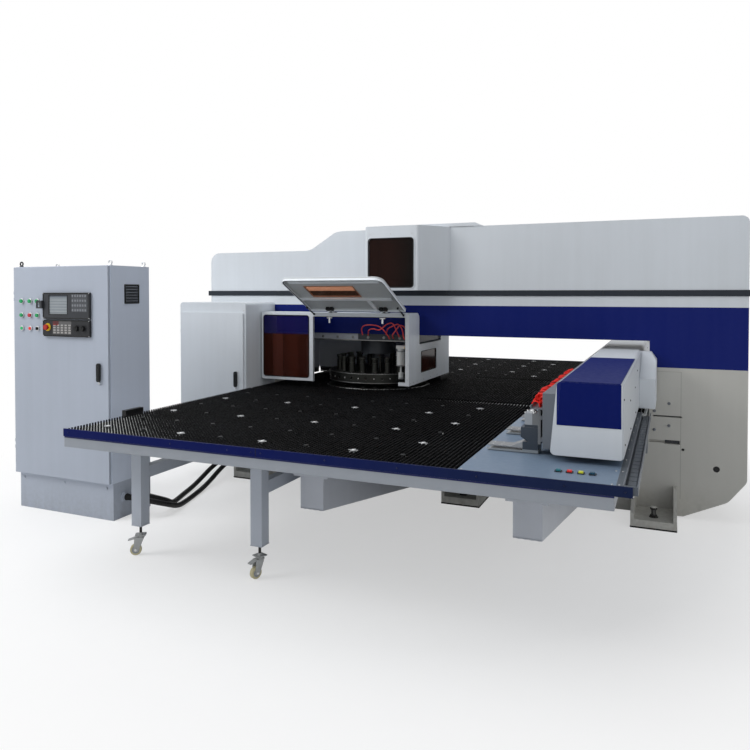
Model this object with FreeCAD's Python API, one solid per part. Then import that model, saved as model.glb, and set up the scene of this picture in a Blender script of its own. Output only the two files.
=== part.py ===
import FreeCAD, Part

import math
import os

Vec = FreeCAD.Vector

# A turret punch press with a closed O-shaped frame. X runs along the frame, Y through its
# throat from the operator's side (-Y) to the rear (+Y), and Z is up from the floor.
# The Y = 0 plane is the middle of the frame. All sizes are in millimetres.

GAP = 0.3                 # running gap between pieces that move past each other

# Main frame
FRAME_LEFT = -2501.0
FRAME_RIGHT = 2459.0
FRAME_HALF = 320.0        # half of the frame's thickness
FRAME_BASE = 15.0
FRAME_LOW_TOP = 2198.0
FRAME_TOP = 2376.0
RISE_START = -1331.0
RISE_END = -1043.0
TOE_START = 2013.0        # where the underside starts to climb at the right end
TOE_BEND = (2330.0, 162.0)
TOE_BEND_RADIUS = 120.0
TOE_HEIGHT = 330.0
TOE_RADIUS = 60.0
WINDOW_LEFT = -1725.0
WINDOW_RIGHT = 1757.0
WINDOW_BOTTOM = 700.0
WINDOW_TOP = 1400.0
WINDOW_RADIUS = 30.0
SLOTS = (                 # x and x from the window's right edge, z, z
    (30.0, 241.0, 796.0, 808.0),
    (1.0, 115.0, 590.0, 610.0),
    (115.0, 228.0, 582.0, 614.0),
)
SLOT_DEEP = 25.0
PORTS = ((251.0, 545.0, 11.0), (490.0, 413.0, 24.0))     # x from the same edge, z, radius
PORT_DEEP = 60.0
STRIPE_LOW = 1759.0
STRIPE_HIGH = 1808.0
STRIPE_PROUD = 8.0
STRIPE_LEFT_PROUD = 30.0

# Feet
FOOT_CENTRES = (-1803.0, 298.0, 1803.0)
FOOT_WIDTH = 327.0
FOOT_PLATE = 65.0
FOOT_REACH = 380.0        # how far a foot stands out from the frame's face
GUSSET_THICK = 25.0
GUSSET_HEIGHT = 250.0
LEVEL_BOLT_RADIUS = 16.0
LEVEL_HEAD_RADIUS = 26.0
LEVEL_HEAD_HIGH = 20.0
LEVEL_BOLT_TALL = 60.0
LEVEL_BOLT_OUT = 270.0    # from the frame's face

# Ram, its cylinder and the hood over it
RAM_X = -362.0
RAM_ROD_RADIUS = 50.0
RAM_CYLINDER_RADIUS = 90.0
RAM_HEAD_RADIUS = 68.0
RAM_HEAD_HIGH = 60.0
RAM_STROKE = 30.0
RAM_FLANGE_RADIUS = 120.0
RAM_FLANGE_THICK = 20.0
HOOD_LEFT = -615.0
HOOD_RIGHT = -112.0
HOOD_SIDE_END = 91.0      # where the slanted side meets the frame
HOOD_DEPTH = 300.0
HOOD_WALL = 4.0
HOOD_CORNER = 30.0
CAP_HIGH = 32.0
CAP_RIGHT = 319.0
CAP_TOE = 387.0
HOOD_PANE = (-572.0, -152.0, 1838.0, 2264.0)     # x, x, z, z of the opening
PANE_CORNER = 26.0
PANE_THICK = 4.0
PANE_LAP = 12.0
BEZEL_WIDE = 16.0
BEZEL_PROUD = 6.0

# Side enclosure on the left column
SIDE_LEFT = FRAME_LEFT + 11.0
SIDE_RIGHT = WINDOW_LEFT - 7.0
SIDE_LOW = 300.0
SIDE_HIGH = 1696.0
SIDE_DEPTH = 510.0
SIDE_WALL = 4.0
SIDE_RADIUS = 30.0
SIDE_LIP = 40.0
DOOR_THICK = 18.0
SIDE_DOOR_MARGIN = 24.0
SIDE_DOOR_TOP_MARGIN = 96.0
HANDLE_WIDE = 34.0
HANDLE_LONG = 146.0
HANDLE_THICK = 14.0
SIDE_HANDLE_X = SIDE_RIGHT - 100.0
SIDE_HANDLE_TOP = 1050.0
SPINDLE_RADIUS = 9.0
SPINDLE_LONG = 8.0
HANDLE_PLATE_LAP = 5.0    # plate behind a handle, beyond the lever
HANDLE_PLATE_PROUD = 3.0
KEY_RADIUS = 11.0
KEY_PROUD = 7.0

# Table
TABLE_LEFT = WINDOW_LEFT + 20.0
TABLE_RIGHT = WINDOW_RIGHT + 6.0
TABLE_END = 2970.0        # front and rear edges
TABLE_TOP = 905.0
BRISTLE_HIGH = 20.0
BRUSH_BASE = 20.0
BRUSH_RIGHT = 940.0
BRISTLE_PITCH = 60.0
BRISTLE_WIDE = 24.0
RAIL_HIGH = 80.0
RAIL_WIDE = 60.0
FASCIA_THICK = 8.0
FASCIA_HIGH = 50.0
FASCIA_JOINT = -239.0
FRONT_SEAM = 825.0        # where the outer tables meet the centre table
SLOT_IN = 765.0           # inner edge of the slot for the beam's legs
SLOT_LEFT = 60.0
DECK_SHEET = 6.0
CHANNEL_LEFT = 1690.0
CHANNEL_RIGHT = 1785.0
CHANNEL_WALL = 6.0
BALL_RADIUS = 15.0
BALL_PITCH = 300.0
BALL_ROWS = (-2770.0, -2440.0, -2110.0, -1780.0, -1450.0, -1120.0)
EDGE_BLOCK_Y = -2320.0
EDGE_BLOCK_LONG = 180.0
EDGE_BLOCK_HIGH = 28.0
EDGE_BLOCK_WIDE = 36.0

# Castored legs
LEG_CENTRES = (-1399.0, -447.0)
LEG_Y = 2605.0
LEG_WIDE = 82.0
LEG_LOW = 205.0
BRACE_LOW = 520.0
BRACE_HIGH = 600.0
BRACE_WIDE = 60.0
BRACE_FLANGE = 12.0
BRACE_FLANGE_SIZE = 140.0
CASTOR_PLATE_TOP = 140.0
CASTOR_PLATE_THICK = 4.0
CASTOR_PLATE_HALF = 36.0
STEM_RADIUS = 9.0
WHEEL_RADIUS = 38.0
WHEEL_WIDE = 28.0
WHEEL_CORNER = 5.0
AXLE_RADIUS = 6.0
AXLE_GAP = 0.1
FORK_TRAIL = 32.0
CHEEK_THICK = 4.0
CASTOR_TURNS = (215.0, 250.0, 140.0, 320.0)      # degrees each castor has swung

# Support arms
ARM_CENTRES = (-186.5, 1183.5)
ARM_WIDE = 165.0
ARM_TOP = 610.0
ARM_ROOT_LOW = 60.0
ARM_TIP_LOW = 400.0
ARM_REACH = 2400.0
PAD_HALF = 122.0
PAD_THICK = 30.0
PAD_LONG = 300.0
POST_WIDE = 100.0

# Rails that the carriage beam runs on
TRACK_Y = 795.0
TRACK_WIDE = 150.0
TRACK_HIGH = 110.0
TRACK_LEFT = -280.0
RAIL_HEAD = 24.0
RAIL_TALL = 25.0

# Turret
TURRET_X = -742.0
TURRET_RADIUS = 480.0
UPPER_LOW = TABLE_TOP + 42.0
UPPER_HIGH = UPPER_LOW + 94.0
LOWER_RADIUS = 492.0
LOWER_LOW = TABLE_TOP - 105.0
SPINDLE_BORE = 60.0
STATION_RADIUS = 380.0
STATIONS = 20
TOOL_RADIUS = 30.0
TOOL_NECK = 20.0
TOOL_HEAD = 34.0
TOOL_TOP = UPPER_HIGH + 139.0
SMALL_TOOL_RADIUS = 14.0
INNER_STATION_RADIUS = 270.0
RIM_HOLE_RADIUS = 13.0
CARRIER_THICK = 70.0
CARRIER_LEFT = -1600.0
CARRIER_RIGHT = -215.0
CARRIER_INSET = 20.0      # from the frame's faces

# Guard round the turret
GUARD_LEFT = SIDE_RIGHT + 16.0
GUARD_RIGHT = -200.0
GUARD_LOW = TABLE_TOP + 57.0
GUARD_HIGH = 1605.0
GUARD_MIDDLE_HIGH = 1316.0
GUARD_DEPTH = 270.0
GUARD_WALL = 4.0
GUARD_CORNER = 26.0
GUARD_REAR_CORNER = 60.0
BAY_PANE = (-1694.0, -1196.0, 990.0, 1577.0)
LID_OPENING = (-1154.0, -237.0, 1567.0)          # x, x and top of the opening
PILLAR_FOOT = 65.0
PILLAR_FOOT_HIGH = 30.0
SIDE_PANE = (-275.0, 164.0, 1052.0, 1250.0)      # y, y, z, z

# Guard lid, modelled shut and then swung open
LID_LONG = 620.0
LID_SHEET = 2.5
LID_FLANGE = 30.0
LID_CORNER = 70.0
LID_AXIS_OUT = 10.0       # hinge axis in front of the guard
LID_AXIS_UP = 12.0        # and above its roof
LID_OPEN = 116.0          # degrees from hanging shut
LID_RIB_WIDE = 34.0
LID_RIB_DEEP = 18.0
LID_PANE = (-1010.0, -560.0, 0.42, 0.72)         # x, x and two shares of the lid's length
HINGE_CENTRES = (-960.0, -430.0)
HINGE_WIDE = 70.0
BARREL_RADIUS = 7.0
BARREL_LONG = 22.0

# Carriage beam
BEAM_LEFT = 1290.0
BEAM_RIGHT = 1660.0
BEAM_LOW = TABLE_TOP + 50.0
BEAM_HIGH = BEAM_LOW + 295.0
BEAM_END = 2560.0
COVER_LEFT = 1338.0
COVER_RIGHT = 1706.0
COVER_LOW = BEAM_LOW - 15.0
COVER_HIGH = BEAM_HIGH + 75.0
COVER_END = 2620.0
COVER_WALL = 4.0
COVER_CORNER = 25.0
COVER_SKIRT = 60.0
COVER_LEAN_LEFT = 35.0    # how far its sides lean in at the top
COVER_LEAN_RIGHT = 10.0
SIDE_BOX_RIGHT = 1813.0
SIDE_BOX_FRONT = -870.0
SIDE_BOX_BACK = -FRAME_HALF - 20.0
SIDE_BOX_NOSE = COVER_LOW + 215.0        # top of its front wall
SIDE_BOX_SHOULDER = COVER_LOW + 322.0    # top of its outer wall
SIDE_BOX_HIGH = COVER_HIGH - 5.0
SIDE_BOX_CHAMFER = 40.0
SIDE_BOX_SLOPE_END = -392.0              # where its sloped top is at full height
BEAM_TRAVEL = 1250.0
BEAM_LEG_WIDE = 240.0
BEAM_LEG_THICK = 40.0
BEARING_LONG = 100.0
BEARING_WIDE = 62.0
TRAY_LEFT = 1226.0
TRAY_TOP = BEAM_LOW + 213.0
TRAY_THICK = 6.0
TRAY_FRONT = -2560.0
HOSE_RADIUS = 13.0
HOSE_FRONT = -2540.0
HOSE_REAR = -1120.0
HOSE_STEP = 30.0

# Clamp carriage on the beam's left face
CLAMP_RAIL_HEIGHTS = (BEAM_LOW + 40.0, BEAM_LOW + 160.0)
CLAMP_RAIL_SIZE = 20.0
CLAMP_RAIL_PROUD = 14.0
STAY_CENTRES = (-2000.0, -700.0, 700.0, 2000.0)
STAY_SIZE = 40.0
STAY_RISE = 80.0
SHOE_LONG = 80.0
SHOE_INSET = 60.0
SHOE_WRAP = 12.0
PLATE_FRONT = -2500.0
PLATE_BACK = -1400.0
PLATE_LOW = BEAM_LOW + 7.0
PLATE_HIGH = BEAM_LOW + 195.0
PLATE_THICK = 16.0
CLAMP_CENTRES = (-2430.0, -1960.0, -1490.0)
CLAMP_WIDE = 110.0
CLAMP_LEFT = 1160.0
CLAMP_TIP = 975.0
JAW_LOW = TABLE_TOP + 3.0
CLAMP_BOX_LOW = JAW_LOW + 140.0
CLAMP_BOX_HIGH = JAW_LOW + 218.0
JAW_THICK = 10.0
JAW_MOUTH = 12.0
JAW_NOSE = 130.0          # length of the upper jaw's thin part, which goes under the turret
JAW_NOSE_THICK = 8.0
JAW_HEEL_THICK = 36.0
JAW_PIVOT_X = 1186.0
JAW_PIVOT_Z = JAW_LOW + 44.0
JAW_PIN_RADIUS = 8.0
CLAMP_TRAVEL = 2500.0

# Door hinges: knuckles of the side enclosure's and the cabinet's doors
KNUCKLE_RADIUS = 7.0
KNUCKLE_LONG = 26.0
PIN_RADIUS = 3.5
LEAF_THICK = 4.0
LEAF_LONG = 34.0
HINGE_SHARES = (0.14, 0.86)                      # of the door's height

# Control cabinet
CABINET_LEFT = -3105.0
CABINET_RIGHT = -2080.0
CABINET_FRONT = -2185.0
CABINET_BACK = -1735.0
CABINET_HIGH = 2000.0
PLINTH_HIGH = 290.0
PLINTH_INSET = 35.0
PLINTH_SIDE_INSET = 15.0
CABINET_WALL = 4.0
CABINET_DOOR_THICK = 22.0
CABINET_DOOR_MARGIN = 8.0
CABINET_HANDLE_X = -2176.0
CABINET_HANDLE_TOP = 1237.0
EYE_RADIUS = 20.0
EYE_TUBE = 5.0
VENT = (-2009.0, -1865.0, 1708.0, 1845.0)        # y, y, z, z
VENT_SLATS = 6
DISPLAY = (-2757.0, -2257.0, 1577.0, 1787.0)     # x, x, z, z
PANEL = (-2757.0, -2257.0, 1436.0, 1569.0)
DISPLAY_THICK = 18.0
SCREEN = (-2692.0, -2490.0, 1612.0, 1768.0)
SCREEN_DEEP = 4.0
KEY_ROWS = 4
KEY_COLUMNS = 6
KEY_FIELD = (-2440.0, -2290.0, 1640.0, 1770.0)
KEY_SIZE = 17.0
KEY_HIGH = 3.0
PANEL_KEY_FIELD = (-2640.0, -2455.0, 1462.0, 1545.0)
PANEL_KEY_COLUMNS = 5
PANEL_KEY_ROWS = 4
PANEL_KEY_WIDE = 24.0
PANEL_KEY_TALL = 12.0
LAMP_COLUMNS = (-3008.0, -2915.0, -2832.0)
LAMP_ROWS = (1718.0, 1603.0, 1495.0)
LAMP_RADIUS = 16.0
LAMP_PROUD = 22.0
BUTTON_RADIUS = 13.0
COLLAR_RADIUS = 17.0
COLLAR_HIGH = 9.0
BUTTON_TRAVEL = 4.0
STOP_X = -2703.0
STOP_Z = 1510.0
STOP_RADIUS = 21.0
KNOB_XS = (-2390.0, -2325.0)
KNOB_Z = 1505.0
KNOB_RADIUS = 21.0
KNOB_HIGH = 20.0
GLAND_RADIUS = 30.0
GLAND_LONG = 36.0

# Deck buttons
DECK_BUTTON_XS = (1410.0, 1464.0, 1518.0, 1572.0)
DECK_BUTTON_Y = -2810.0
DECK_BUTTON_SIZE = 22.0
DECK_BUTTON_HIGH = 8.0
DECK_BUTTON_TRAVEL = 3.0
DECK_BEZEL_SIZE = 34.0
DECK_BEZEL_HIGH = 4.0

# The two conduits from the cabinet to the frame: the corners of their routes
CONDUIT_RADIUS = 21.0
ROUTE_A = (
    (-2050, -2040, 165), (-1945, -2040, 165), (-1841, -1978, 134), (-1788, -1865, 88),
    (-1801, -1727, 33), (-1850, -1566, 22), (-1904, -1375, 22), (-1955, -1190, 28),
    (-1995, -1010, 60), (-2028, -835, 108), (-2048, -670, 142), (-2056, -520, 153),
    (-2056, -380, 153),
)
ROUTE_B = (
    (-2050, -1940, 165), (-1952, -1940, 165), (-1874, -1889, 136), (-1844, -1803, 95),
    (-1876, -1715, 48), (-1939, -1582, 23), (-2005, -1404, 22), (-2056, -1222, 28),
    (-2092, -1050, 58), (-2120, -870, 108), (-2138, -700, 142), (-2145, -530, 153),
    (-2145, -380, 153),
)

# The origin is the middle of the whole machine's footprint, on the floor.
ORIGIN_X = (CABINET_LEFT - 2 * KNUCKLE_RADIUS - 1 + FRAME_RIGHT + STRIPE_PROUD) / 2.0

# Sizes that follow from the ones above
CARRIER_TOP = WINDOW_TOP
CARRIER_LOW = WINDOW_TOP - CARRIER_THICK
CARRIER_HALF = FRAME_HALF - CARRIER_INSET
RAM_HEAD_LOW = TOOL_TOP + RAM_STROKE + 5.0
FRAME_FRONT = -FRAME_HALF
BRISTLE_FOOT = TABLE_TOP - BRISTLE_HIGH
RAIL_TOP = BRISTLE_FOOT - BRUSH_BASE
RAIL_LOW = RAIL_TOP - RAIL_HIGH
GUARD_FRONT = FRAME_FRONT - GUARD_DEPTH
LID_AXIS_Y = GUARD_FRONT - LID_AXIS_OUT
LID_AXIS_Z = GUARD_HIGH + LID_AXIS_UP
TRACK_TOP = ARM_TOP + TRACK_HIGH
BEARING_LOW = TRACK_TOP + RAIL_TALL + GAP
BEARING_TOP = RAIL_LOW - 5.0
WHEEL_CENTRE = WHEEL_RADIUS


# ---------------------------------------------------------------- basic shapes

def block(x0, x1, y0, y1, z0, z1):
    return Part.makeBox(x1 - x0, y1 - y0, z1 - z0, Vec(x0, y0, z0))


def rod_x(y, z, x0, x1, radius):
    return Part.makeCylinder(radius, x1 - x0, Vec(x0, y, z), Vec(1, 0, 0))


def rod_y(x, z, y0, y1, radius):
    return Part.makeCylinder(radius, y1 - y0, Vec(x, y0, z), Vec(0, 1, 0))


def rod_z(x, y, z0, z1, radius):
    return Part.makeCylinder(radius, z1 - z0, Vec(x, y, z0), Vec(0, 0, 1))


def corner_arc(before, at, after, radius):
    """Start, middle and end of the arc that rounds one corner of an outline."""
    back = (before - at).normalize()
    on = (after - at).normalize()
    half = back.getAngle(on) / 2.0
    reach = radius / math.tan(half)
    inward = (back + on).normalize()
    middle = at + inward * (radius / math.sin(half) - radius)
    return at + back * reach, middle, at + on * reach


def outline(corners, lay):
    """Face inside an outline of (a, b, corner radius) points, laid in space by lay(a, b)."""
    at = [lay(a, b) for a, b, radius in corners]
    marks = []
    for i, (a, b, radius) in enumerate(corners):
        if radius:
            marks.append(corner_arc(at[i - 1], at[i], at[(i + 1) % len(at)], radius))
        else:
            marks.append((at[i],))
    edges = []
    for i, mark in enumerate(marks):
        if len(mark) == 3:
            edges.append(Part.Arc(*mark).toShape())
        following = marks[(i + 1) % len(marks)][0]
        if mark[-1].distanceToPoint(following) > 1e-6:
            edges.append(Part.LineSegment(mark[-1], following).toShape())
    return Part.Face(Part.Wire(edges))


def slab_xz(corners, y0, y1):
    return outline(corners, lambda x, z: Vec(x, y0, z)).extrude(Vec(0, y1 - y0, 0))


def slab_yz(corners, x0, x1):
    return outline(corners, lambda y, z: Vec(x0, y, z)).extrude(Vec(x1 - x0, 0, 0))


def slab_xy(corners, z0, z1):
    return outline(corners, lambda x, y: Vec(x, y, z0)).extrude(Vec(0, 0, z1 - z0))


def rect(a0, a1, b0, b1, radius=0.0):
    return ((a0, b0, radius), (a1, b0, radius), (a1, b1, radius), (a0, b1, radius))


def fused(shapes):
    """One solid from pieces that are joined, with its split faces merged."""
    return shapes[0].fuse(list(shapes[1:])).removeSplitter()


def rear_copy(shape):
    """The same piece on the other side of the frame."""
    return shape.mirror(Vec(0, 0, 0), Vec(0, 1, 0))


def both_sides(shapes):
    return list(shapes) + [rear_copy(shape) for shape in shapes]


def export(node, *solids):
    """Write a node's solids, with the origin at the middle of the footprint."""
    placed = [solid.translated(Vec(-ORIGIN_X, 0, 0)) for solid in solids]
    shape = placed[0] if len(placed) == 1 else Part.makeCompound(placed)
    shape.exportStep("parts/" + node + ".step")


# ---------------------------------------------------------------- frame and feet

def make_main_frame():
    body = slab_xz((
        (FRAME_LEFT, FRAME_BASE, 20), (FRAME_LEFT, FRAME_LOW_TOP, 100),
        (RISE_START, FRAME_LOW_TOP, 200), (RISE_END, FRAME_TOP, 200),
        (FRAME_RIGHT, FRAME_TOP, 55), (FRAME_RIGHT, TOE_HEIGHT, TOE_RADIUS),
        (*TOE_BEND, TOE_BEND_RADIUS), (TOE_START, FRAME_BASE, 0)), -FRAME_HALF, FRAME_HALF)
    window = slab_xz(rect(WINDOW_LEFT, WINDOW_RIGHT, WINDOW_BOTTOM, WINDOW_TOP, WINDOW_RADIUS),
                     -FRAME_HALF, FRAME_HALF)
    ram_bore = rod_z(RAM_X, 0, WINDOW_TOP - 1, FRAME_TOP + 1, RAM_CYLINDER_RADIUS + GAP)
    access = [block(WINDOW_RIGHT + x0, WINDOW_RIGHT + x1, FRAME_FRONT, FRAME_FRONT + SLOT_DEEP, z0, z1)
              for x0, x1, z0, z1 in SLOTS]
    access += [rod_y(WINDOW_RIGHT + x, z, FRAME_FRONT, FRAME_FRONT + PORT_DEEP, radius)
               for x, z, radius in PORTS]
    return body.cut([window, ram_bore, *access])


def make_accent_stripe():
    outer = block(FRAME_LEFT - STRIPE_LEFT_PROUD, FRAME_RIGHT + STRIPE_PROUD,
                  -FRAME_HALF - STRIPE_PROUD, FRAME_HALF + STRIPE_PROUD, STRIPE_LOW, STRIPE_HIGH)
    inner = block(FRAME_LEFT, FRAME_RIGHT, -FRAME_HALF, FRAME_HALF, STRIPE_LOW, STRIPE_HIGH)
    return outer.cut(inner)


def make_foot(centre):
    """One front foot: base plate, two gussets with sloped tops, and its levelling bolt."""
    half = FOOT_WIDTH / 2.0
    out = FRAME_FRONT - FOOT_REACH
    plate = block(centre - half, centre + half, out, FRAME_FRONT, 0, FOOT_PLATE)
    profile = ((FRAME_FRONT, FOOT_PLATE, 0), (FRAME_FRONT, GUSSET_HEIGHT, 0),
               (FRAME_FRONT - 60, GUSSET_HEIGHT, 0), (out, FOOT_PLATE + 45, 0),
               (out, FOOT_PLATE, 0))
    gussets = [slab_yz(profile, x, x + GUSSET_THICK)
               for x in (centre - half, centre + half - GUSSET_THICK)]
    bolt_y = FRAME_FRONT - LEVEL_BOLT_OUT
    hole = rod_z(centre, bolt_y, 0, FOOT_PLATE, LEVEL_BOLT_RADIUS + GAP)
    bolt = fused([rod_z(centre, bolt_y, 0, FOOT_PLATE + LEVEL_BOLT_TALL, LEVEL_BOLT_RADIUS),
                  hex_head(centre, bolt_y, FOOT_PLATE + LEVEL_BOLT_TALL, LEVEL_HEAD_RADIUS,
                           LEVEL_HEAD_HIGH),
                  hex_head(centre, bolt_y, FOOT_PLATE, LEVEL_HEAD_RADIUS, LEVEL_HEAD_HIGH)])
    return fused([plate, *gussets]).cut(hole), bolt


def hex_head(x, y, z, radius, high):
    points = [Vec(x + radius * math.cos(math.radians(60 * i)),
                  y + radius * math.sin(math.radians(60 * i)), z) for i in range(7)]
    return Part.Face(Part.makePolygon(points)).extrude(Vec(0, 0, high))


def make_frame_feet():
    pieces = []
    for centre in FOOT_CENTRES:
        pieces += both_sides(make_foot(centre))
    return pieces


# ---------------------------------------------------------------- ram and hood

def make_ram_housing():
    front = FRAME_FRONT - HOOD_DEPTH
    plan = ((HOOD_LEFT, FRAME_FRONT, 0), (HOOD_LEFT, front, HOOD_CORNER),
            (HOOD_RIGHT, front, HOOD_CORNER), (HOOD_SIDE_END, FRAME_FRONT, 0))
    wall = HOOD_WALL
    room = ((HOOD_LEFT + wall, FRAME_FRONT, 0), (HOOD_LEFT + wall, front + wall, HOOD_CORNER - wall),
            (HOOD_RIGHT - wall, front + wall, HOOD_CORNER - wall),
            (HOOD_SIDE_END - 2 * wall, FRAME_FRONT, 0))
    hood = slab_xy(plan, STRIPE_HIGH, FRAME_TOP).cut(
        slab_xy(room, STRIPE_HIGH + wall, FRAME_TOP - wall))
    x0, x1, z0, z1 = HOOD_PANE
    bezel = slab_xz(rect(x0 - BEZEL_WIDE, x1 + BEZEL_WIDE, z0 - BEZEL_WIDE, z1 + BEZEL_WIDE,
                         PANE_CORNER + BEZEL_WIDE), front - BEZEL_PROUD, front)
    opening = slab_xz(rect(x0, x1, z0, z1, PANE_CORNER), front - BEZEL_PROUD, front + wall)
    cap = slab_xz(((HOOD_LEFT, FRAME_TOP, 0), (HOOD_LEFT, FRAME_TOP + CAP_HIGH, 10),
                   (CAP_RIGHT, FRAME_TOP + CAP_HIGH, 20), (CAP_TOE, FRAME_TOP, 0)),
                  FRAME_FRONT - wall, FRAME_HALF)
    flange_room = rod_z(RAM_X, 0, FRAME_TOP, FRAME_TOP + RAM_FLANGE_THICK + GAP,
                        RAM_FLANGE_RADIUS + GAP)
    return fused([hood, bezel, cap]).cut([opening, flange_room])


def make_ram_cylinder():
    tube = rod_z(RAM_X, 0, CARRIER_TOP, FRAME_TOP, RAM_CYLINDER_RADIUS)
    flange = rod_z(RAM_X, 0, FRAME_TOP, FRAME_TOP + RAM_FLANGE_THICK, RAM_FLANGE_RADIUS)
    bore = rod_z(RAM_X, 0, CARRIER_TOP, FRAME_TOP - 200, RAM_ROD_RADIUS + GAP)
    return fused([tube, flange]).cut(bore)


def make_ram():
    rod = rod_z(RAM_X, 0, RAM_HEAD_LOW + RAM_HEAD_HIGH, FRAME_TOP - 230, RAM_ROD_RADIUS)
    head = rod_z(RAM_X, 0, RAM_HEAD_LOW, RAM_HEAD_LOW + RAM_HEAD_HIGH, RAM_HEAD_RADIUS)
    return fused([rod, head])


# ---------------------------------------------------------------- door hinges

def door_hinges(x, y, z0, z1, fixed_leaf, moving_leaf):
    """Fixed and moving halves of a door's hinges on the upright axis at (x, y).

    A leaf is (x0, x1, y0, y1), the plate that joins its knuckles to the piece.
    """
    fixed = []
    moving = []
    step = KNUCKLE_LONG / 2.0
    for share in HINGE_SHARES:
        z = z0 + share * (z1 - z0)
        fixed.append(rod_z(x, y, z - step, z + step, KNUCKLE_RADIUS))
        fixed.append(rod_z(x, y, z - 3 * step, z + 3 * step, PIN_RADIUS))
        fixed.append(block(*fixed_leaf, z - step, z + step))
        for low in (z - 3 * step, z + step + GAP):
            knuckle = rod_z(x, y, low, low + KNUCKLE_LONG - GAP, KNUCKLE_RADIUS)
            leaf = block(*moving_leaf, low, low + KNUCKLE_LONG - GAP)
            bore = rod_z(x, y, low, low + KNUCKLE_LONG, PIN_RADIUS + GAP)
            moving.append(knuckle.fuse(leaf).cut(bore))
    return fixed, moving


def side_door_hinges():
    x0, x1, z0, z1 = side_door_edges()
    face = FRAME_FRONT - SIDE_DEPTH
    x = x0 - KNUCKLE_RADIUS - 1
    y = face - KNUCKLE_RADIUS - GAP
    return door_hinges(x, y, z0, z1, (x - 14, x, face - LEAF_THICK, face),
                       (x, x0, y - LEAF_THICK, y))


def cabinet_hinges():
    x0, x1, z0, z1 = cabinet_door_edges()
    x, y = cabinet_hinge_axis()
    return door_hinges(x, y, z0, z1, (x, CABINET_LEFT, y + 1, y + LEAF_LONG),
                       (x, CABINET_LEFT, y - CABINET_DOOR_THICK + 3, y - GAP))


def cabinet_hinge_axis():
    return CABINET_LEFT - KNUCKLE_RADIUS - 1, CABINET_FRONT + CABINET_DOOR_THICK + GAP / 2.0


# ---------------------------------------------------------------- side enclosure

def make_side_enclosure():
    front = FRAME_FRONT - SIDE_DEPTH
    shell = slab_xz(rect(SIDE_LEFT, SIDE_RIGHT, SIDE_LOW, SIDE_HIGH, SIDE_RADIUS),
                    front, FRAME_FRONT)
    room = slab_xz(rect(SIDE_LEFT + SIDE_WALL, SIDE_RIGHT - SIDE_WALL, SIDE_LOW + SIDE_WALL,
                        SIDE_HIGH - SIDE_WALL, SIDE_RADIUS - SIDE_WALL),
                   front + SIDE_WALL, FRAME_FRONT - SIDE_WALL)
    x0, x1, z0, z1 = side_door_edges()
    mouth = slab_xz(rect(x0 + SIDE_LIP, x1 - SIDE_LIP, z0 + SIDE_LIP, z1 - SIDE_LIP, 12),
                    front, front + SIDE_WALL)
    return fused([shell.cut([room, mouth]), *side_door_hinges()[0]])


def side_door_edges():
    return (SIDE_LEFT + SIDE_DOOR_MARGIN, SIDE_RIGHT - SIDE_DOOR_MARGIN,
            SIDE_LOW + SIDE_DOOR_MARGIN, SIDE_HIGH - SIDE_DOOR_TOP_MARGIN)


def make_side_door():
    x0, x1, z0, z1 = side_door_edges()
    back = FRAME_FRONT - SIDE_DEPTH - GAP
    skin = slab_xz(rect(x0, x1, z0, z1, 14), back - DOOR_THICK, back)
    hollow = block(x0 + 20, x1 - 20, back - DOOR_THICK + 2, back, z0 + 20, z1 - 20)
    boss = rod_y(SIDE_HANDLE_X, SIDE_HANDLE_TOP - HANDLE_WIDE / 2.0, back - DOOR_THICK, back,
                 2 * SPINDLE_RADIUS)
    plate = handle_plate(SIDE_HANDLE_X, SIDE_HANDLE_TOP, back - DOOR_THICK)
    return fused([skin.cut(hollow), boss, *side_door_hinges()[1], plate])


def handle_plate(x, top, door_front):
    """Plate on a door behind its handle, with the key cylinder under the lever's free end."""
    half = HANDLE_WIDE / 2.0
    reach = half + HANDLE_PLATE_LAP
    key_z = top - HANDLE_LONG - KEY_RADIUS
    low = key_z - KEY_RADIUS - HANDLE_PLATE_LAP
    plate = slab_xz(rect(x - reach, x + reach, low, top + HANDLE_PLATE_LAP, half),
                    door_front - HANDLE_PLATE_PROUD, door_front)
    bore = rod_y(x, top - half, door_front - HANDLE_PLATE_PROUD, door_front, SPINDLE_RADIUS + GAP)
    return plate.cut(bore).fuse(rod_y(x, key_z, door_front - KEY_PROUD, door_front, KEY_RADIUS))


def make_turning_handle(x, top, door_front):
    """Lever that turns on a spindle at its upper end, just off the door."""
    half = HANDLE_WIDE / 2.0
    lever = slab_xz(rect(x - half, x + half, top - HANDLE_LONG, top, half - 1),
                    door_front - SPINDLE_LONG - HANDLE_THICK, door_front - SPINDLE_LONG)
    spindle = rod_y(x, top - half, door_front - SPINDLE_LONG, door_front, SPINDLE_RADIUS)
    return fused([lever, spindle])


# ---------------------------------------------------------------- table

def beam_x(x0, x1, y, wide=RAIL_WIDE):
    return block(x0, x1, y - wide / 2.0, y + wide / 2.0, RAIL_LOW, RAIL_TOP)


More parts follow.
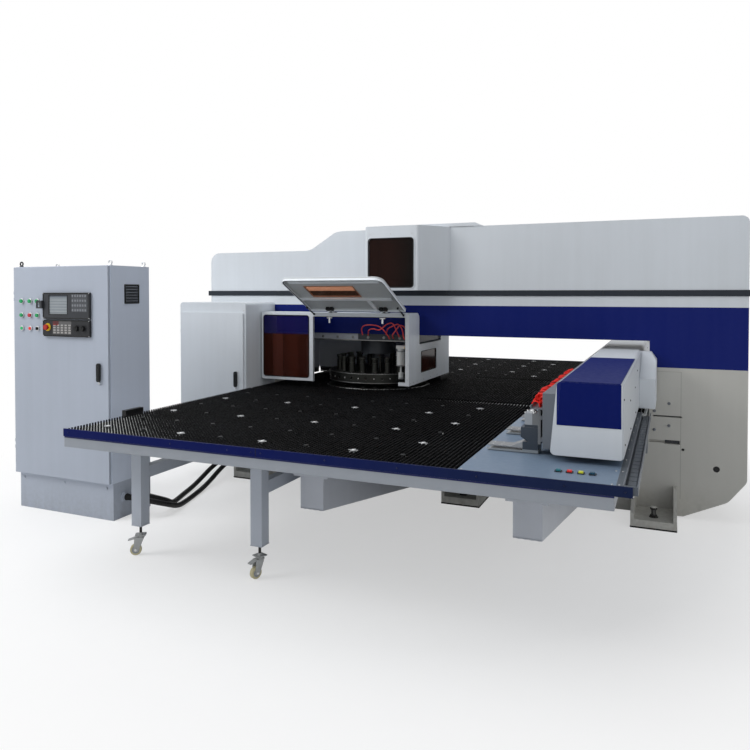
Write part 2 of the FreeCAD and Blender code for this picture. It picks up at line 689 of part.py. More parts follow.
def make_table_frames():
    """Tube ladders under the outer tables and the centre table, one solid for each tube."""
    half = RAIL_WIDE / 2.0
    end = FASCIA_THICK - TABLE_END + half
    seam = -FRONT_SEAM - half
    outer = [beam_x(TABLE_LEFT, TABLE_RIGHT - 80, end), beam_x(TABLE_LEFT, TABLE_RIGHT - 80, seam)]
    lengthwise = (TABLE_LEFT + half, LEG_CENTRES[0], -960, LEG_CENTRES[1], ARM_CENTRES[0], 240,
                  620, 940, ARM_CENTRES[1], 1450, TABLE_RIGHT - 80 - half)
    for x in lengthwise:
        outer.append(block(x - half, x + half, end + half, seam - half, RAIL_LOW, RAIL_TOP))
    centre = []
    for y in (-SLOT_IN + half, SLOT_IN - half):
        centre.append(beam_x(TABLE_LEFT + 12, TABLE_RIGHT - 20, y))
    last = WINDOW_RIGHT - WINDOW_RADIUS - half - 2
    for x in (TABLE_LEFT + 12 + half, 240, 700, 1200, last):
        centre.append(block(x - half, x + half, -SLOT_IN + RAIL_WIDE, SLOT_IN - RAIL_WIDE,
                            RAIL_LOW, RAIL_TOP))
        centre.append(block(x - half, x + half, -half, half, WINDOW_BOTTOM, RAIL_LOW))
    return both_sides(outer) + centre


def brush_plate(plan, ridge_runs):
    """A brush plate: base with rows of bristles that run along Y."""
    base = slab_xy(plan, RAIL_TOP, BRISTLE_FOOT)
    half = BRISTLE_WIDE / 2.0
    rows = [block(x - half, x + half, y0, y1, BRISTLE_FOOT, TABLE_TOP) for x, y0, y1 in ridge_runs]
    return base.fuse(rows)


def ridge_centres(left, right):
    count = int((right - left - BRISTLE_WIDE) / BRISTLE_PITCH)
    first = (left + right - count * BRISTLE_PITCH) / 2.0
    return [first + i * BRISTLE_PITCH for i in range(count + 1)]


def make_front_brush():
    y0 = FASCIA_THICK - TABLE_END
    runs = [(x, y0, -FRONT_SEAM) for x in ridge_centres(TABLE_LEFT, BRUSH_RIGHT)]
    return brush_plate(rect(TABLE_LEFT, BRUSH_RIGHT, y0, -FRONT_SEAM), runs)


def make_centre_brush():
    """Centre plate with a round mouth for the turret and notches for the beam's legs."""
    seam = FRONT_SEAM - GAP
    left = TABLE_LEFT + 4
    right = TABLE_RIGHT - 12
    plan = ((left, -seam, 0), (SLOT_LEFT, -seam, 0), (SLOT_LEFT, -SLOT_IN, 0), (right, -SLOT_IN, 0),
            (right, SLOT_IN, 0), (SLOT_LEFT, SLOT_IN, 0), (SLOT_LEFT, seam, 0), (left, seam, 0))
    base = slab_xy(plan, RAIL_TOP, BRISTLE_FOOT)
    half = BRISTLE_WIDE / 2.0
    mouth_radius = LOWER_RADIUS + 8
    rows = []
    for x in ridge_centres(left, right):
        reach = seam if x + half < SLOT_LEFT else SLOT_IN
        near = abs(x - TURRET_X) - half
        if near < mouth_radius:
            bite = math.sqrt(mouth_radius ** 2 - max(near, 0.0) ** 2)
            rows.append(block(x - half, x + half, -reach, -bite, BRISTLE_FOOT, TABLE_TOP))
            rows.append(block(x - half, x + half, bite, reach, BRISTLE_FOOT, TABLE_TOP))
        else:
            rows.append(block(x - half, x + half, -reach, reach, BRISTLE_FOOT, TABLE_TOP))
    mouth = rod_z(TURRET_X, 0, RAIL_TOP - 1, TABLE_TOP + 1, mouth_radius)
    return base.cut(mouth).fuse(rows)


def make_deck_plates():
    """Pressed metal deck beside the brushes, front and rear."""
    y0 = FASCIA_THICK - TABLE_END
    pan = block(BRUSH_RIGHT, CHANNEL_LEFT, y0, -FRONT_SEAM, RAIL_TOP, TABLE_TOP)
    inside = block(BRUSH_RIGHT + DECK_SHEET, CHANNEL_LEFT - DECK_SHEET, y0 + DECK_SHEET,
                   -FRONT_SEAM - DECK_SHEET, RAIL_TOP, TABLE_TOP - DECK_SHEET)
    deck = pan.cut(inside)
    half = DECK_BEZEL_SIZE / 2.0
    bezels = []
    holes = []
    for x in DECK_BUTTON_XS:
        bezels.append(block(x - half, x + half, DECK_BUTTON_Y - half, DECK_BUTTON_Y + half,
                            TABLE_TOP, TABLE_TOP + DECK_BEZEL_HIGH))
        well = DECK_BUTTON_SIZE / 2.0 + GAP
        holes.append(block(x - well, x + well, DECK_BUTTON_Y - well, DECK_BUTTON_Y + well,
                           TABLE_TOP - DECK_SHEET, TABLE_TOP + DECK_BEZEL_HIGH))
    return fused([deck, *bezels]).cut(holes), rear_copy(deck)


def make_side_channels():
    """Channels along the deck's outer edges, and the stop block on the table's left edge."""
    y0 = FASCIA_THICK - TABLE_END
    top = TABLE_TOP
    outer = block(CHANNEL_LEFT, CHANNEL_RIGHT, y0, -FRONT_SEAM, RAIL_TOP, top)
    groove = block(CHANNEL_LEFT + 36, CHANNEL_RIGHT - CHANNEL_WALL, y0 + 20, -FRONT_SEAM,
                   RAIL_TOP + CHANNEL_WALL, top)
    stop = block(TABLE_LEFT - EDGE_BLOCK_WIDE, TABLE_LEFT, EDGE_BLOCK_Y - EDGE_BLOCK_LONG / 2.0,
                 EDGE_BLOCK_Y + EDGE_BLOCK_LONG / 2.0, RAIL_TOP, TABLE_TOP + EDGE_BLOCK_HIGH)
    return both_sides([outer.cut(groove)]) + [stop]


def make_fascias():
    y0 = -TABLE_END
    low = TABLE_TOP - FASCIA_HIGH
    left = block(TABLE_LEFT, FASCIA_JOINT - 2, y0, y0 + FASCIA_THICK, low, TABLE_TOP)
    right = block(FASCIA_JOINT + 2, TABLE_RIGHT, y0, y0 + FASCIA_THICK, low, TABLE_TOP)
    return both_sides([left, right])


def gap_beside(x, left, right):
    """Middle of the gap between bristle rows that is nearest to x."""
    centres = ridge_centres(left, right)
    return min((c + BRISTLE_PITCH / 2.0 for c in centres[:-1]), key=lambda c: abs(c - x))


def make_ball_transfers():
    units = []
    count = int((BRUSH_RIGHT - TABLE_LEFT) / BALL_PITCH)
    for i in range(count):
        x = gap_beside(TABLE_LEFT + (i + 0.6) * BALL_PITCH, TABLE_LEFT, BRUSH_RIGHT)
        for y in BALL_ROWS:
            units.append(rod_z(x, y, BRISTLE_FOOT, TABLE_TOP, BALL_RADIUS))
    return both_sides(units)


# ---------------------------------------------------------------- legs and castors

def make_leg(x):
    half = LEG_WIDE / 2.0
    post = block(x - half, x + half, -LEG_Y - half, -LEG_Y + half, LEG_LOW, RAIL_LOW)
    tube = BRACE_WIDE / 2.0
    brace = block(x - tube, x + tube, -LEG_Y + half, FRAME_FRONT - BRACE_FLANGE,
                  BRACE_LOW, BRACE_HIGH)
    plate = BRACE_FLANGE_SIZE / 2.0
    middle = (BRACE_LOW + BRACE_HIGH) / 2.0
    flange = block(x - plate, x + plate, FRAME_FRONT - BRACE_FLANGE, FRAME_FRONT,
                   middle - plate, middle + plate)
    return post, brace, flange


def castor_spots():
    """Castor centres with the angle each has swung to."""
    places = [(x, y) for y in (-LEG_Y, LEG_Y) for x in LEG_CENTRES]
    return [(x, y, turn) for (x, y), turn in zip(places, CASTOR_TURNS)]


def make_castor_fork():
    """A castor's stem, top plate, cheeks, axle and brake pedal, trailing along +X."""
    half = WHEEL_WIDE / 2.0 + 2.0
    top = CASTOR_PLATE_TOP
    under = top - CASTOR_PLATE_THICK
    r = CASTOR_PLATE_HALF
    plate = slab_xy(rect(-r, r, -r, r, 10), under, top)
    nut = hex_head(0, 0, top, 14, 10)
    stem = rod_z(0, 0, top, LEG_LOW, STEM_RADIUS)
    race = rod_z(0, 0, under - 14, under, half + CHEEK_THICK - 1)
    crown = block(-r + 12, FORK_TRAIL + 8, -half - CHEEK_THICK, half + CHEEK_THICK,
                  under - 14 - CHEEK_THICK, under - 14)
    profile = ((-r + 12, under - 14, 0), (FORK_TRAIL + 8, under - 14, 0),
               (FORK_TRAIL + 16, WHEEL_CENTRE - 12, 12), (FORK_TRAIL - 16, WHEEL_CENTRE - 12, 12))
    cheeks = [slab_xz(profile, y, y + CHEEK_THICK) for y in (-half - CHEEK_THICK, half)]
    axle = rod_y(FORK_TRAIL, WHEEL_CENTRE, -half - CHEEK_THICK - 3, half + CHEEK_THICK + 3,
                 AXLE_RADIUS)
    pedal = slab_xz(((FORK_TRAIL + 6, under - 24, 0), (FORK_TRAIL + 50, under - 34, 0),
                     (FORK_TRAIL + 50, under - 28, 0), (FORK_TRAIL + 6, under - 14, 0)),
                    -half, half)
    return fused([plate, nut, stem, race, crown, *cheeks, axle, pedal])


def make_castor_wheel():
    half = WHEEL_WIDE / 2.0
    inner = AXLE_RADIUS + AXLE_GAP
    corners = ((inner, -half, 0), (WHEEL_RADIUS, -half, WHEEL_CORNER),
               (WHEEL_RADIUS, half, WHEEL_CORNER), (inner, half, 0))
    face = outline(corners, lambda r, y: Vec(FORK_TRAIL + r, y, WHEEL_CENTRE))
    return face.revolve(Vec(FORK_TRAIL, 0, WHEEL_CENTRE), Vec(0, 1, 0), 360)


def at_castor(shape, x, y, turn):
    swung = shape.rotated(Vec(0, 0, 0), Vec(0, 0, 1), turn)
    return swung.translated(Vec(x, y, 0))


# ---------------------------------------------------------------- arms and tracks

def make_support_arm(x):
    half = ARM_WIDE / 2.0
    profile = ((FRAME_FRONT, ARM_ROOT_LOW, 0), (FRAME_FRONT, ARM_TOP, 0),
               (-ARM_REACH, ARM_TOP, 0), (-ARM_REACH, ARM_TIP_LOW, 0))
    arm = slab_yz(profile, x - half, x + half)
    pad = block(x - PAD_HALF, x + PAD_HALF, -ARM_REACH - 20, -ARM_REACH + PAD_LONG,
                ARM_TOP, ARM_TOP + PAD_THICK)
    post_half = POST_WIDE / 2.0
    post_y = -ARM_REACH + PAD_LONG / 2.0
    post = block(x - post_half, x + post_half, post_y - post_half, post_y + post_half,
                 ARM_TOP + PAD_THICK, RAIL_LOW)
    inner_y = -FRONT_SEAM - RAIL_WIDE / 2.0 - 60
    inner = block(x - RAIL_WIDE / 2.0, x + RAIL_WIDE / 2.0, inner_y - RAIL_WIDE / 2.0,
                  inner_y + RAIL_WIDE / 2.0, ARM_TOP, RAIL_LOW)
    return arm, fused([pad, post]), inner


def make_rail_beam():
    y = -TRACK_Y
    half = TRACK_WIDE / 2.0
    beam = block(TRACK_LEFT, TABLE_RIGHT, y - half, y + half, ARM_TOP, TRACK_TOP)
    head = RAIL_HEAD / 2.0
    rail = block(SLOT_LEFT, TABLE_RIGHT - 20, y - head, y + head, TRACK_TOP, TRACK_TOP + RAIL_TALL)
    return beam, rail


# ---------------------------------------------------------------- turret

def around(count, radius, offset=0.0):
    for i in range(count):
        angle = math.radians(offset + 360.0 * i / count)
        yield TURRET_X + radius * math.cos(angle), radius * math.sin(angle), angle


def make_upper_turret():
    disc = rod_z(TURRET_X, 0, UPPER_LOW, UPPER_HIGH, TURRET_RADIUS)
    middle = (UPPER_LOW + UPPER_HIGH) / 2.0
    cuts = [rod_z(TURRET_X, 0, UPPER_LOW, UPPER_HIGH, SPINDLE_BORE + GAP)]
    for x, y, angle in around(STATIONS, TURRET_RADIUS, 9):
        out = Vec(math.cos(angle), math.sin(angle), 0)
        cuts.append(Part.makeCylinder(RIM_HOLE_RADIUS, 26, Vec(x, y, middle) - out * 25, out))
    return disc.cut(cuts)


def make_punch_tool(x, y, radius, head):
    body = rod_z(x, y, UPPER_HIGH, TOOL_TOP - 50, radius)
    neck = rod_z(x, y, TOOL_TOP - 50, TOOL_TOP - 14, radius * TOOL_NECK / TOOL_RADIUS)
    cap = rod_z(x, y, TOOL_TOP - 14, TOOL_TOP, head)
    return fused([body, neck, cap])


def make_punch_tools():
    tools = [make_punch_tool(x, y, TOOL_RADIUS, TOOL_HEAD)
             for x, y, angle in around(STATIONS, STATION_RADIUS)]
    inner = [make_punch_tool(x, y, SMALL_TOOL_RADIUS, SMALL_TOOL_RADIUS + 3)
             for x, y, angle in around(STATIONS // 2, INNER_STATION_RADIUS, 9)]
    return tools + inner


def make_lower_turret():
    disc = rod_z(TURRET_X, 0, LOWER_LOW, TABLE_TOP - 2, LOWER_RADIUS)
    cuts = [rod_z(TURRET_X, 0, LOWER_LOW, TABLE_TOP - 2, SPINDLE_BORE + GAP)]
    for x, y, angle in around(STATIONS, STATION_RADIUS):
        cuts.append(rod_z(x, y, TABLE_TOP - 32, TABLE_TOP - 2, TOOL_RADIUS - 6))
    return disc.cut(cuts)


def make_turret_carrier():
    """Carrier plate under the upper beam, with the upper spindle; and the lower spindle."""
    plate = block(CARRIER_LEFT, CARRIER_RIGHT, -CARRIER_HALF, CARRIER_HALF,
                  CARRIER_LOW, CARRIER_TOP)
    spindle = rod_z(TURRET_X, 0, UPPER_LOW - 14, CARRIER_LOW, SPINDLE_BORE)
    keeper = rod_z(TURRET_X, 0, UPPER_LOW - 14, UPPER_LOW - GAP, SPINDLE_BORE + 25)
    hub = rod_z(TURRET_X, 0, TOOL_TOP + 20, CARRIER_LOW, SPINDLE_BORE + 110)
    ram_hole = rod_z(RAM_X, 0, CARRIER_LOW, CARRIER_TOP, RAM_ROD_RADIUS + 6)
    upper = fused([plate, spindle, keeper, hub]).cut(ram_hole)
    pedestal = rod_z(TURRET_X, 0, WINDOW_BOTTOM, LOWER_LOW - GAP, SPINDLE_BORE + 140)
    lower_spindle = rod_z(TURRET_X, 0, LOWER_LOW - GAP, TABLE_TOP - 4, SPINDLE_BORE)
    return upper, fused([pedestal, lower_spindle])


def make_lubricator():
    """Air filter and oil bowl on a bracket behind the guard's right pillar."""
    bracket = block(-300, GUARD_RIGHT - GUARD_WALL, -420, -380, 1276, 1300)
    bowl = rod_z(-350, -400, 1120, 1250, 38)
    head = fused([rod_z(-350, -400, 1250, 1276, 30), block(-388, -280, -425, -375, 1276, 1306)])
    bottle = fused([rod_z(-350, -400, 1000, 1060, 22), rod_z(-350, -400, 1060, 1120, 9)])
    return fused([bracket, head, bowl, bottle])


# ---------------------------------------------------------------- guard and lid

def guard_side(x0, x1):
    """One end wall of a guard hood, from the hood's front to the frame's face."""
    return slab_yz(((GUARD_FRONT, GUARD_LOW, 0), (GUARD_FRONT, GUARD_HIGH, 20),
                    (FRAME_FRONT, GUARD_HIGH, GUARD_REAR_CORNER), (FRAME_FRONT, GUARD_LOW, 0)),
                   x0, x1)


def make_guard_hood(with_openings):
    wall = GUARD_WALL
    ends = [guard_side(GUARD_LEFT, GUARD_LEFT + wall), guard_side(GUARD_RIGHT - wall, GUARD_RIGHT)]
    roof = block(GUARD_LEFT + wall, GUARD_RIGHT - wall, GUARD_FRONT + 20,
                 FRAME_FRONT - GUARD_REAR_CORNER, GUARD_HIGH - wall, GUARD_HIGH)
    face = slab_xz(rect(GUARD_LEFT, GUARD_RIGHT, GUARD_LOW, GUARD_HIGH, GUARD_CORNER),
                   GUARD_FRONT, GUARD_FRONT + wall)
    lintel = block(GUARD_LEFT + wall, GUARD_RIGHT - wall, GUARD_FRONT, GUARD_FRONT + 24,
                   GUARD_HIGH - 24, GUARD_HIGH)
    if with_openings:
        x0, x1, z0, z1 = BAY_PANE
        bay = slab_xz(rect(x0, x1, z0, z1, GUARD_CORNER), GUARD_FRONT, GUARD_FRONT + wall)
        left, right, top = LID_OPENING
        lid_hole = block(left, right, GUARD_FRONT, GUARD_FRONT + wall, GUARD_LOW, top)
        face = face.cut([bay, lid_hole])
        foot = block(right - PILLAR_FOOT, GUARD_RIGHT - wall, GUARD_FRONT, GUARD_FRONT + 24,
                     GUARD_LOW, GUARD_LOW + PILLAR_FOOT_HIGH)
        post = block(left - 26, left, GUARD_FRONT, GUARD_FRONT + 24, GUARD_LOW, GUARD_HIGH - 24)
        ends += [foot, post]
    return fused([face, lintel, roof, *ends])


def make_turret_guard():
    wall = GUARD_WALL
    bridge = block(GUARD_RIGHT - wall, GUARD_RIGHT, FRAME_FRONT, FRAME_HALF,
                   GUARD_LOW, GUARD_MIDDLE_HIGH)
    y0, y1, z0, z1 = SIDE_PANE
    window = slab_yz(rect(y0, y1, z0, z1, 12), GUARD_RIGHT - wall, GUARD_RIGHT)
    front = make_guard_hood(True)
    rear = rear_copy(make_guard_hood(False))
    return fused([front, rear, bridge.cut(window)])


def make_viewing_windows():
    """Amber panes behind the hood's, the guard bay's and the guard side's openings."""
    lap = PANE_LAP
    x0, x1, z0, z1 = HOOD_PANE
    hood_back = FRAME_FRONT - HOOD_DEPTH + HOOD_WALL
    hood = slab_xz(rect(x0 - lap, x1 + lap, z0 - lap, z1 + lap, PANE_CORNER),
                   hood_back, hood_back + PANE_THICK)
    x0, x1, z0, z1 = BAY_PANE
    back = GUARD_FRONT + GUARD_WALL
    bay = slab_xz(rect(x0 - lap, x1 + lap, z0 - lap, GUARD_HIGH - 24, GUARD_CORNER),
                  back, back + PANE_THICK)
    y0, y1, z0, z1 = SIDE_PANE
    inside = GUARD_RIGHT - GUARD_WALL
    side = slab_yz(rect(y0 - lap, y1 + lap, z0 - lap, z1 + lap, 12), inside - PANE_THICK, inside)
    return hood, bay, side


def opened(shape):
    """Swing a shape that is modelled on the shut lid to the lid's open rest position."""
    return shape.rotated(Vec(0, LID_AXIS_Y, LID_AXIS_Z), Vec(1, 0, 0), -LID_OPEN)


def lid_planes():
    """Inner face of the flanges, inner face of the sheet and outer face, on the shut lid."""
    inner = GUARD_FRONT - 3.0
    sheet = inner - LID_FLANGE
    return inner, sheet, sheet - LID_SHEET


def lid_heights():
    top = GUARD_HIGH - 1.5
    return top - LID_LONG, top


def lid_pane_edges():
    low, top = lid_heights()
    x0, x1, near, far = LID_PANE
    return x0, x1, top - far * LID_LONG, top - near * LID_LONG


def make_guard_lid():
    x0, x1 = LID_OPENING[0] - 12, LID_OPENING[1] + 12
    low, top = lid_heights()
    inner, sheet, outer = lid_planes()
    t = LID_SHEET
    edge = ((x0, low, LID_CORNER), (x1, low, LID_CORNER), (x1, top, 0), (x0, top, 0))
    core = ((x0 + t, low + t, LID_CORNER - t), (x1 - t, low + t, LID_CORNER - t),
            (x1 - t, top - t, 0), (x0 + t, top - t, 0))
    tray = slab_xz(edge, outer, inner).cut(slab_xz(core, sheet, inner))
    a0, a1, b0, b1 = lid_pane_edges()
    hole = slab_xz(rect(a0, a1, b0, b1, 10), outer, sheet)
    deep = sheet + LID_RIB_DEEP
    wide = LID_RIB_WIDE
    ribs = [block(x0 + 50, x1 - 50, sheet, deep, low + 50, low + 50 + wide),
            block(x0 + t, x1 - 50, sheet, deep, b1 + 24, b1 + 24 + wide),
            block(a1 + 40, a1 + 40 + wide, sheet, deep, b1 + 24 + wide, top - t)]
    leaves = []
    bores = []
    for centre in HINGE_CENTRES:
        bores.append(rod_x(LID_AXIS_Y, LID_AXIS_Z, centre - HINGE_WIDE, centre + HINGE_WIDE,
                           PIN_RADIUS + GAP))
        for side in (-1, 1):
            x = centre + side * (BARREL_LONG + GAP)
            a = x - BARREL_LONG / 2.0
            b = x + BARREL_LONG / 2.0
            leaf = block(a, b, outer + 4, LID_AXIS_Y, top, top + 5)
            barrel = rod_x(LID_AXIS_Y, LID_AXIS_Z, a, b, BARREL_RADIUS)
            neck = block(a, b, LID_AXIS_Y - BARREL_RADIUS, LID_AXIS_Y, top, LID_AXIS_Z)
            leaves += [leaf, barrel, neck]
    return opened(fused([tray.cut(hole), *ribs, *leaves]).cut(bores))


def make_lid_window():
    a0, a1, b0, b1 = lid_pane_edges()
    inner, sheet, outer = lid_planes()
    lap = PANE_LAP
    return opened(block(a0 - lap, a1 + lap, sheet, sheet + PANE_THICK, b0 - lap, b1 + lap))


def make_guard_hinges():
    """The guard's half of each lid hinge: a leaf on the roof and the middle knuckle."""
    hinges = []
    for centre in HINGE_CENTRES:
        leaf = block(centre - HINGE_WIDE / 2.0, centre + HINGE_WIDE / 2.0, GUARD_FRONT + 8,
                     GUARD_FRONT + 44, GUARD_HIGH, GUARD_HIGH + 5)
        a = centre - BARREL_LONG / 2.0
        b = centre + BARREL_LONG / 2.0
        tongue = block(a, b, LID_AXIS_Y, GUARD_FRONT + 10, GUARD_HIGH, GUARD_HIGH + 7)
        neck = block(a, b, LID_AXIS_Y, LID_AXIS_Y + BARREL_RADIUS, GUARD_HIGH, LID_AXIS_Z)
        knuckle = rod_x(LID_AXIS_Y, LID_AXIS_Z, a, b, BARREL_RADIUS)
        pin = rod_x(LID_AXIS_Y, LID_AXIS_Z, a - BARREL_LONG, b + BARREL_LONG, PIN_RADIUS)
        hinges.append(fused([leaf, tongue, neck, knuckle, pin]))
    return hinges


# ---------------------------------------------------------------- carriage beam and clamps

def beam_leg(side):
    y = side * TRACK_Y
    half = BEAM_LEG_WIDE / 2.0
    middle = (BEAM_LEFT + BEAM_RIGHT) / 2.0
    leg = block(middle - half, middle + half, y - BEAM_LEG_THICK / 2.0, y + BEAM_LEG_THICK / 2.0,
                BEARING_TOP, BEAM_LOW)
    blocks = []
    grip = BEARING_WIDE / 2.0
    head = RAIL_HEAD / 2.0 + GAP
    for x in (middle - half, middle + half - BEARING_LONG):
        bearing = block(x, x + BEARING_LONG, y - grip, y + grip, TRACK_TOP + 6, BEARING_TOP)
        groove = block(x, x + BEARING_LONG, y - head, y + head, TRACK_TOP + 6, BEARING_LOW)
        blocks.append(bearing.cut(groove))
    return [leg, *blocks]


def make_carriage_beam():
    tube = block(BEAM_LEFT, BEAM_RIGHT, -BEAM_END, BEAM_END, BEAM_LOW, BEAM_HIGH)
    half = CLAMP_RAIL_SIZE / 2.0
    rails = [block(BEAM_LEFT - CLAMP_RAIL_PROUD, BEAM_LEFT, -BEAM_END + 20, BEAM_END - 20,
                   z - half, z + half) for z in CLAMP_RAIL_HEIGHTS]
    tray = block(TRAY_LEFT, BEAM_LEFT, TRAY_FRONT, BEAM_END, TRAY_TOP - TRAY_THICK, TRAY_TOP)
    lip = block(TRAY_LEFT, TRAY_LEFT + 4, TRAY_FRONT, BEAM_END, TRAY_TOP, TRAY_TOP + 16)
    return fused([tube, *rails, tray, lip, *beam_leg(-1), *beam_leg(1)])


def cover_section(inset, corner):
    """Upright section of the cover; its sides lean in towards the top."""
    low = COVER_LOW + inset
    high = COVER_HIGH - inset
    return ((COVER_LEFT + inset, low, corner), (COVER_RIGHT - inset, low, corner),
            (COVER_RIGHT - COVER_LEAN_RIGHT - inset, high, corner),
            (COVER_LEFT + COVER_LEAN_LEFT + inset, high, corner))


def side_box_body(left, inset):
    """Body of the box on the cover's right; its top slopes down to the front and outwards."""
    right = SIDE_BOX_RIGHT - inset
    front = SIDE_BOX_FRONT + inset
    back = SIDE_BOX_BACK - inset
    low = COVER_LOW + inset
    high = SIDE_BOX_HIGH - inset
    across = slab_xz(((left, low, 0), (right, low, 0), (right, SIDE_BOX_SHOULDER - inset, 0),
                      (right - SIDE_BOX_CHAMFER, high, 0), (left, high, 0)), front, back)
    along = slab_yz(((front, low, 0), (back, low, 0), (back, high, 0),
                     (SIDE_BOX_SLOPE_END, high, 0), (front, SIDE_BOX_NOSE - inset, 0)), left, right)
    return across.common(along)


def make_beam_cover():
    """Sheet cover over the beam, open underneath and along most of its left side."""
    wall = COVER_WALL
    end = BEAM_END + GAP
    body = slab_xz(cover_section(0, COVER_CORNER), -COVER_END, COVER_END)
    room = slab_xz(cover_section(wall, COVER_CORNER - wall), -COVER_END + wall, COVER_END - wall)
    left_gap = block(COVER_LEFT, COVER_LEFT + COVER_LEAN_LEFT + wall, -end, end,
                     COVER_LOW, COVER_HIGH - COVER_SKIRT)
    beam_gap = block(COVER_LEFT, BEAM_RIGHT + GAP, -end, end, COVER_LOW, BEAM_HIGH + GAP)
    shell = body.cut([room, left_gap, beam_gap])
    inner = COVER_RIGHT - COVER_LEAN_RIGHT - wall
    side_box = side_box_body(inner, 0).cut(side_box_body(COVER_RIGHT, wall))
    stay_end = COVER_RIGHT - COVER_LEAN_RIGHT / 2.0
    stays = [block(BEAM_RIGHT, stay_end, y - STAY_SIZE / 2, y + STAY_SIZE / 2,
                   BEAM_LOW + STAY_RISE, BEAM_LOW + STAY_RISE + STAY_SIZE) for y in STAY_CENTRES]
    return fused([shell, side_box, *stays])


def make_air_hoses():
    """Bundle of air hoses that lies in the tray on the beam."""
    first = TRAY_LEFT + 4 + HOSE_RADIUS + 1
    low = TRAY_TOP + HOSE_RADIUS
    lower = [rod_y(first + i * HOSE_STEP * 0.92, low, HOSE_FRONT + 12 * i, HOSE_REAR, HOSE_RADIUS)
             for i in range(2)]
    upper_z = low + math.sqrt(4 * (HOSE_RADIUS + GAP / 2) ** 2 - (HOSE_STEP * 0.46) ** 2)
    upper = rod_y(first + HOSE_STEP * 0.46, upper_z, HOSE_FRONT + 60, HOSE_REAR, HOSE_RADIUS)
    return [*lower, upper]


def make_clamp_carriage():
    plate_right = BEAM_LEFT - CLAMP_RAIL_PROUD - GAP - 5
    plate_left = plate_right - PLATE_THICK
    plate = block(plate_left, plate_right, PLATE_FRONT, PLATE_BACK, PLATE_LOW, PLATE_HIGH)
    pieces = [plate]
    reach = CLAMP_RAIL_SIZE / 2.0
    for z in CLAMP_RAIL_HEIGHTS:
        for y in (PLATE_FRONT + SHOE_INSET, PLATE_BACK - SHOE_INSET - SHOE_LONG):
            shoe = block(plate_right, BEAM_LEFT - 2, y, y + SHOE_LONG,
                         z - reach - SHOE_WRAP, z + reach + SHOE_WRAP)
            groove = block(BEAM_LEFT - CLAMP_RAIL_PROUD - GAP, BEAM_LEFT - 2, y, y + SHOE_LONG,
                           z - reach - GAP, z + reach + GAP)
            pieces.append(shoe.cut(groove))
    for y in CLAMP_CENTRES:
        pieces += clamp_body(y, plate_left)
    return fused(pieces)


def clamp_body(y, right):
    """Fixed part of one clamp: body, air cylinder box, lower jaw and the jaw's pin."""
    half = CLAMP_WIDE / 2.0
    jaw_top = JAW_LOW + JAW_THICK
    body = slab_xz(((CLAMP_LEFT, CLAMP_BOX_LOW, 0), (CLAMP_LEFT, JAW_LOW + 86, 0),
                    (JAW_PIVOT_X + 24, JAW_LOW + 54, 0),
                    (JAW_PIVOT_X + 24, JAW_LOW, 0), (right, JAW_LOW, 0), (right, CLAMP_BOX_LOW, 0)),
                   y - half, y + half)
    box = slab_xz(rect(CLAMP_LEFT + 20, right, CLAMP_BOX_LOW, CLAMP_BOX_HIGH, 0),
                  y - half + 6, y + half - 6)
    lower = slab_xz(((CLAMP_TIP, JAW_LOW, 0), (JAW_PIVOT_X + 24, JAW_LOW, 0),
                     (JAW_PIVOT_X + 24, jaw_top, 0), (CLAMP_TIP + 24, jaw_top, 0),
                     (CLAMP_TIP, JAW_LOW + 4, 0)), y - half, y + half)
    cheeks = [block(JAW_PIVOT_X - 16, JAW_PIVOT_X + 26, y + side * (half - 4) - 4,
                    y + side * (half - 4) + 4, JAW_LOW + 4, JAW_PIVOT_Z + 16) for side in (-1, 1)]
    pin = rod_y(JAW_PIVOT_X, JAW_PIVOT_Z, y - half, y + half, JAW_PIN_RADIUS)
    return [body, box, lower, *cheeks, pin]


def make_clamp_jaw(y):
    half = CLAMP_WIDE / 2.0 - 8 - GAP
    low = JAW_LOW + JAW_THICK + JAW_MOUTH
    heel = low + JAW_HEEL_THICK
    nose = low + JAW_NOSE_THICK
    jaw = slab_xz(((CLAMP_TIP, low, 0), (JAW_PIVOT_X + 16, low, 0), (JAW_PIVOT_X + 16, heel, 14),
                   (JAW_PIVOT_X - 16, heel, 14), (CLAMP_TIP + JAW_NOSE, nose, 0),
                   (CLAMP_TIP, nose, 0)), y - half, y + half)
    return jaw.cut(rod_y(JAW_PIVOT_X, JAW_PIVOT_Z, y - half, y + half, JAW_PIN_RADIUS + GAP))


# ---------------------------------------------------------------- control cabinet

def make_cabinet_plinth():
    base = block(CABINET_LEFT + PLINTH_SIDE_INSET, CABINET_RIGHT, CABINET_FRONT + PLINTH_INSET,
                 CABINET_BACK, 0, PLINTH_HIGH)
    room = block(CABINET_LEFT + PLINTH_SIDE_INSET + 4, CABINET_RIGHT - 4,
                 CABINET_FRONT + PLINTH_INSET + 4, CABINET_BACK - 4, 0, PLINTH_HIGH)
    glands = []
    for route in (ROUTE_A, ROUTE_B):
        x, y, z = route[0]
        glands.append(rod_x(y, z, CABINET_RIGHT, CABINET_RIGHT + GLAND_LONG - 16, GLAND_RADIUS + 6))
        glands.append(rod_x(y, z, CABINET_RIGHT + GLAND_LONG - 16, x, GLAND_RADIUS - 4))
    return fused([base.cut(room), *glands])


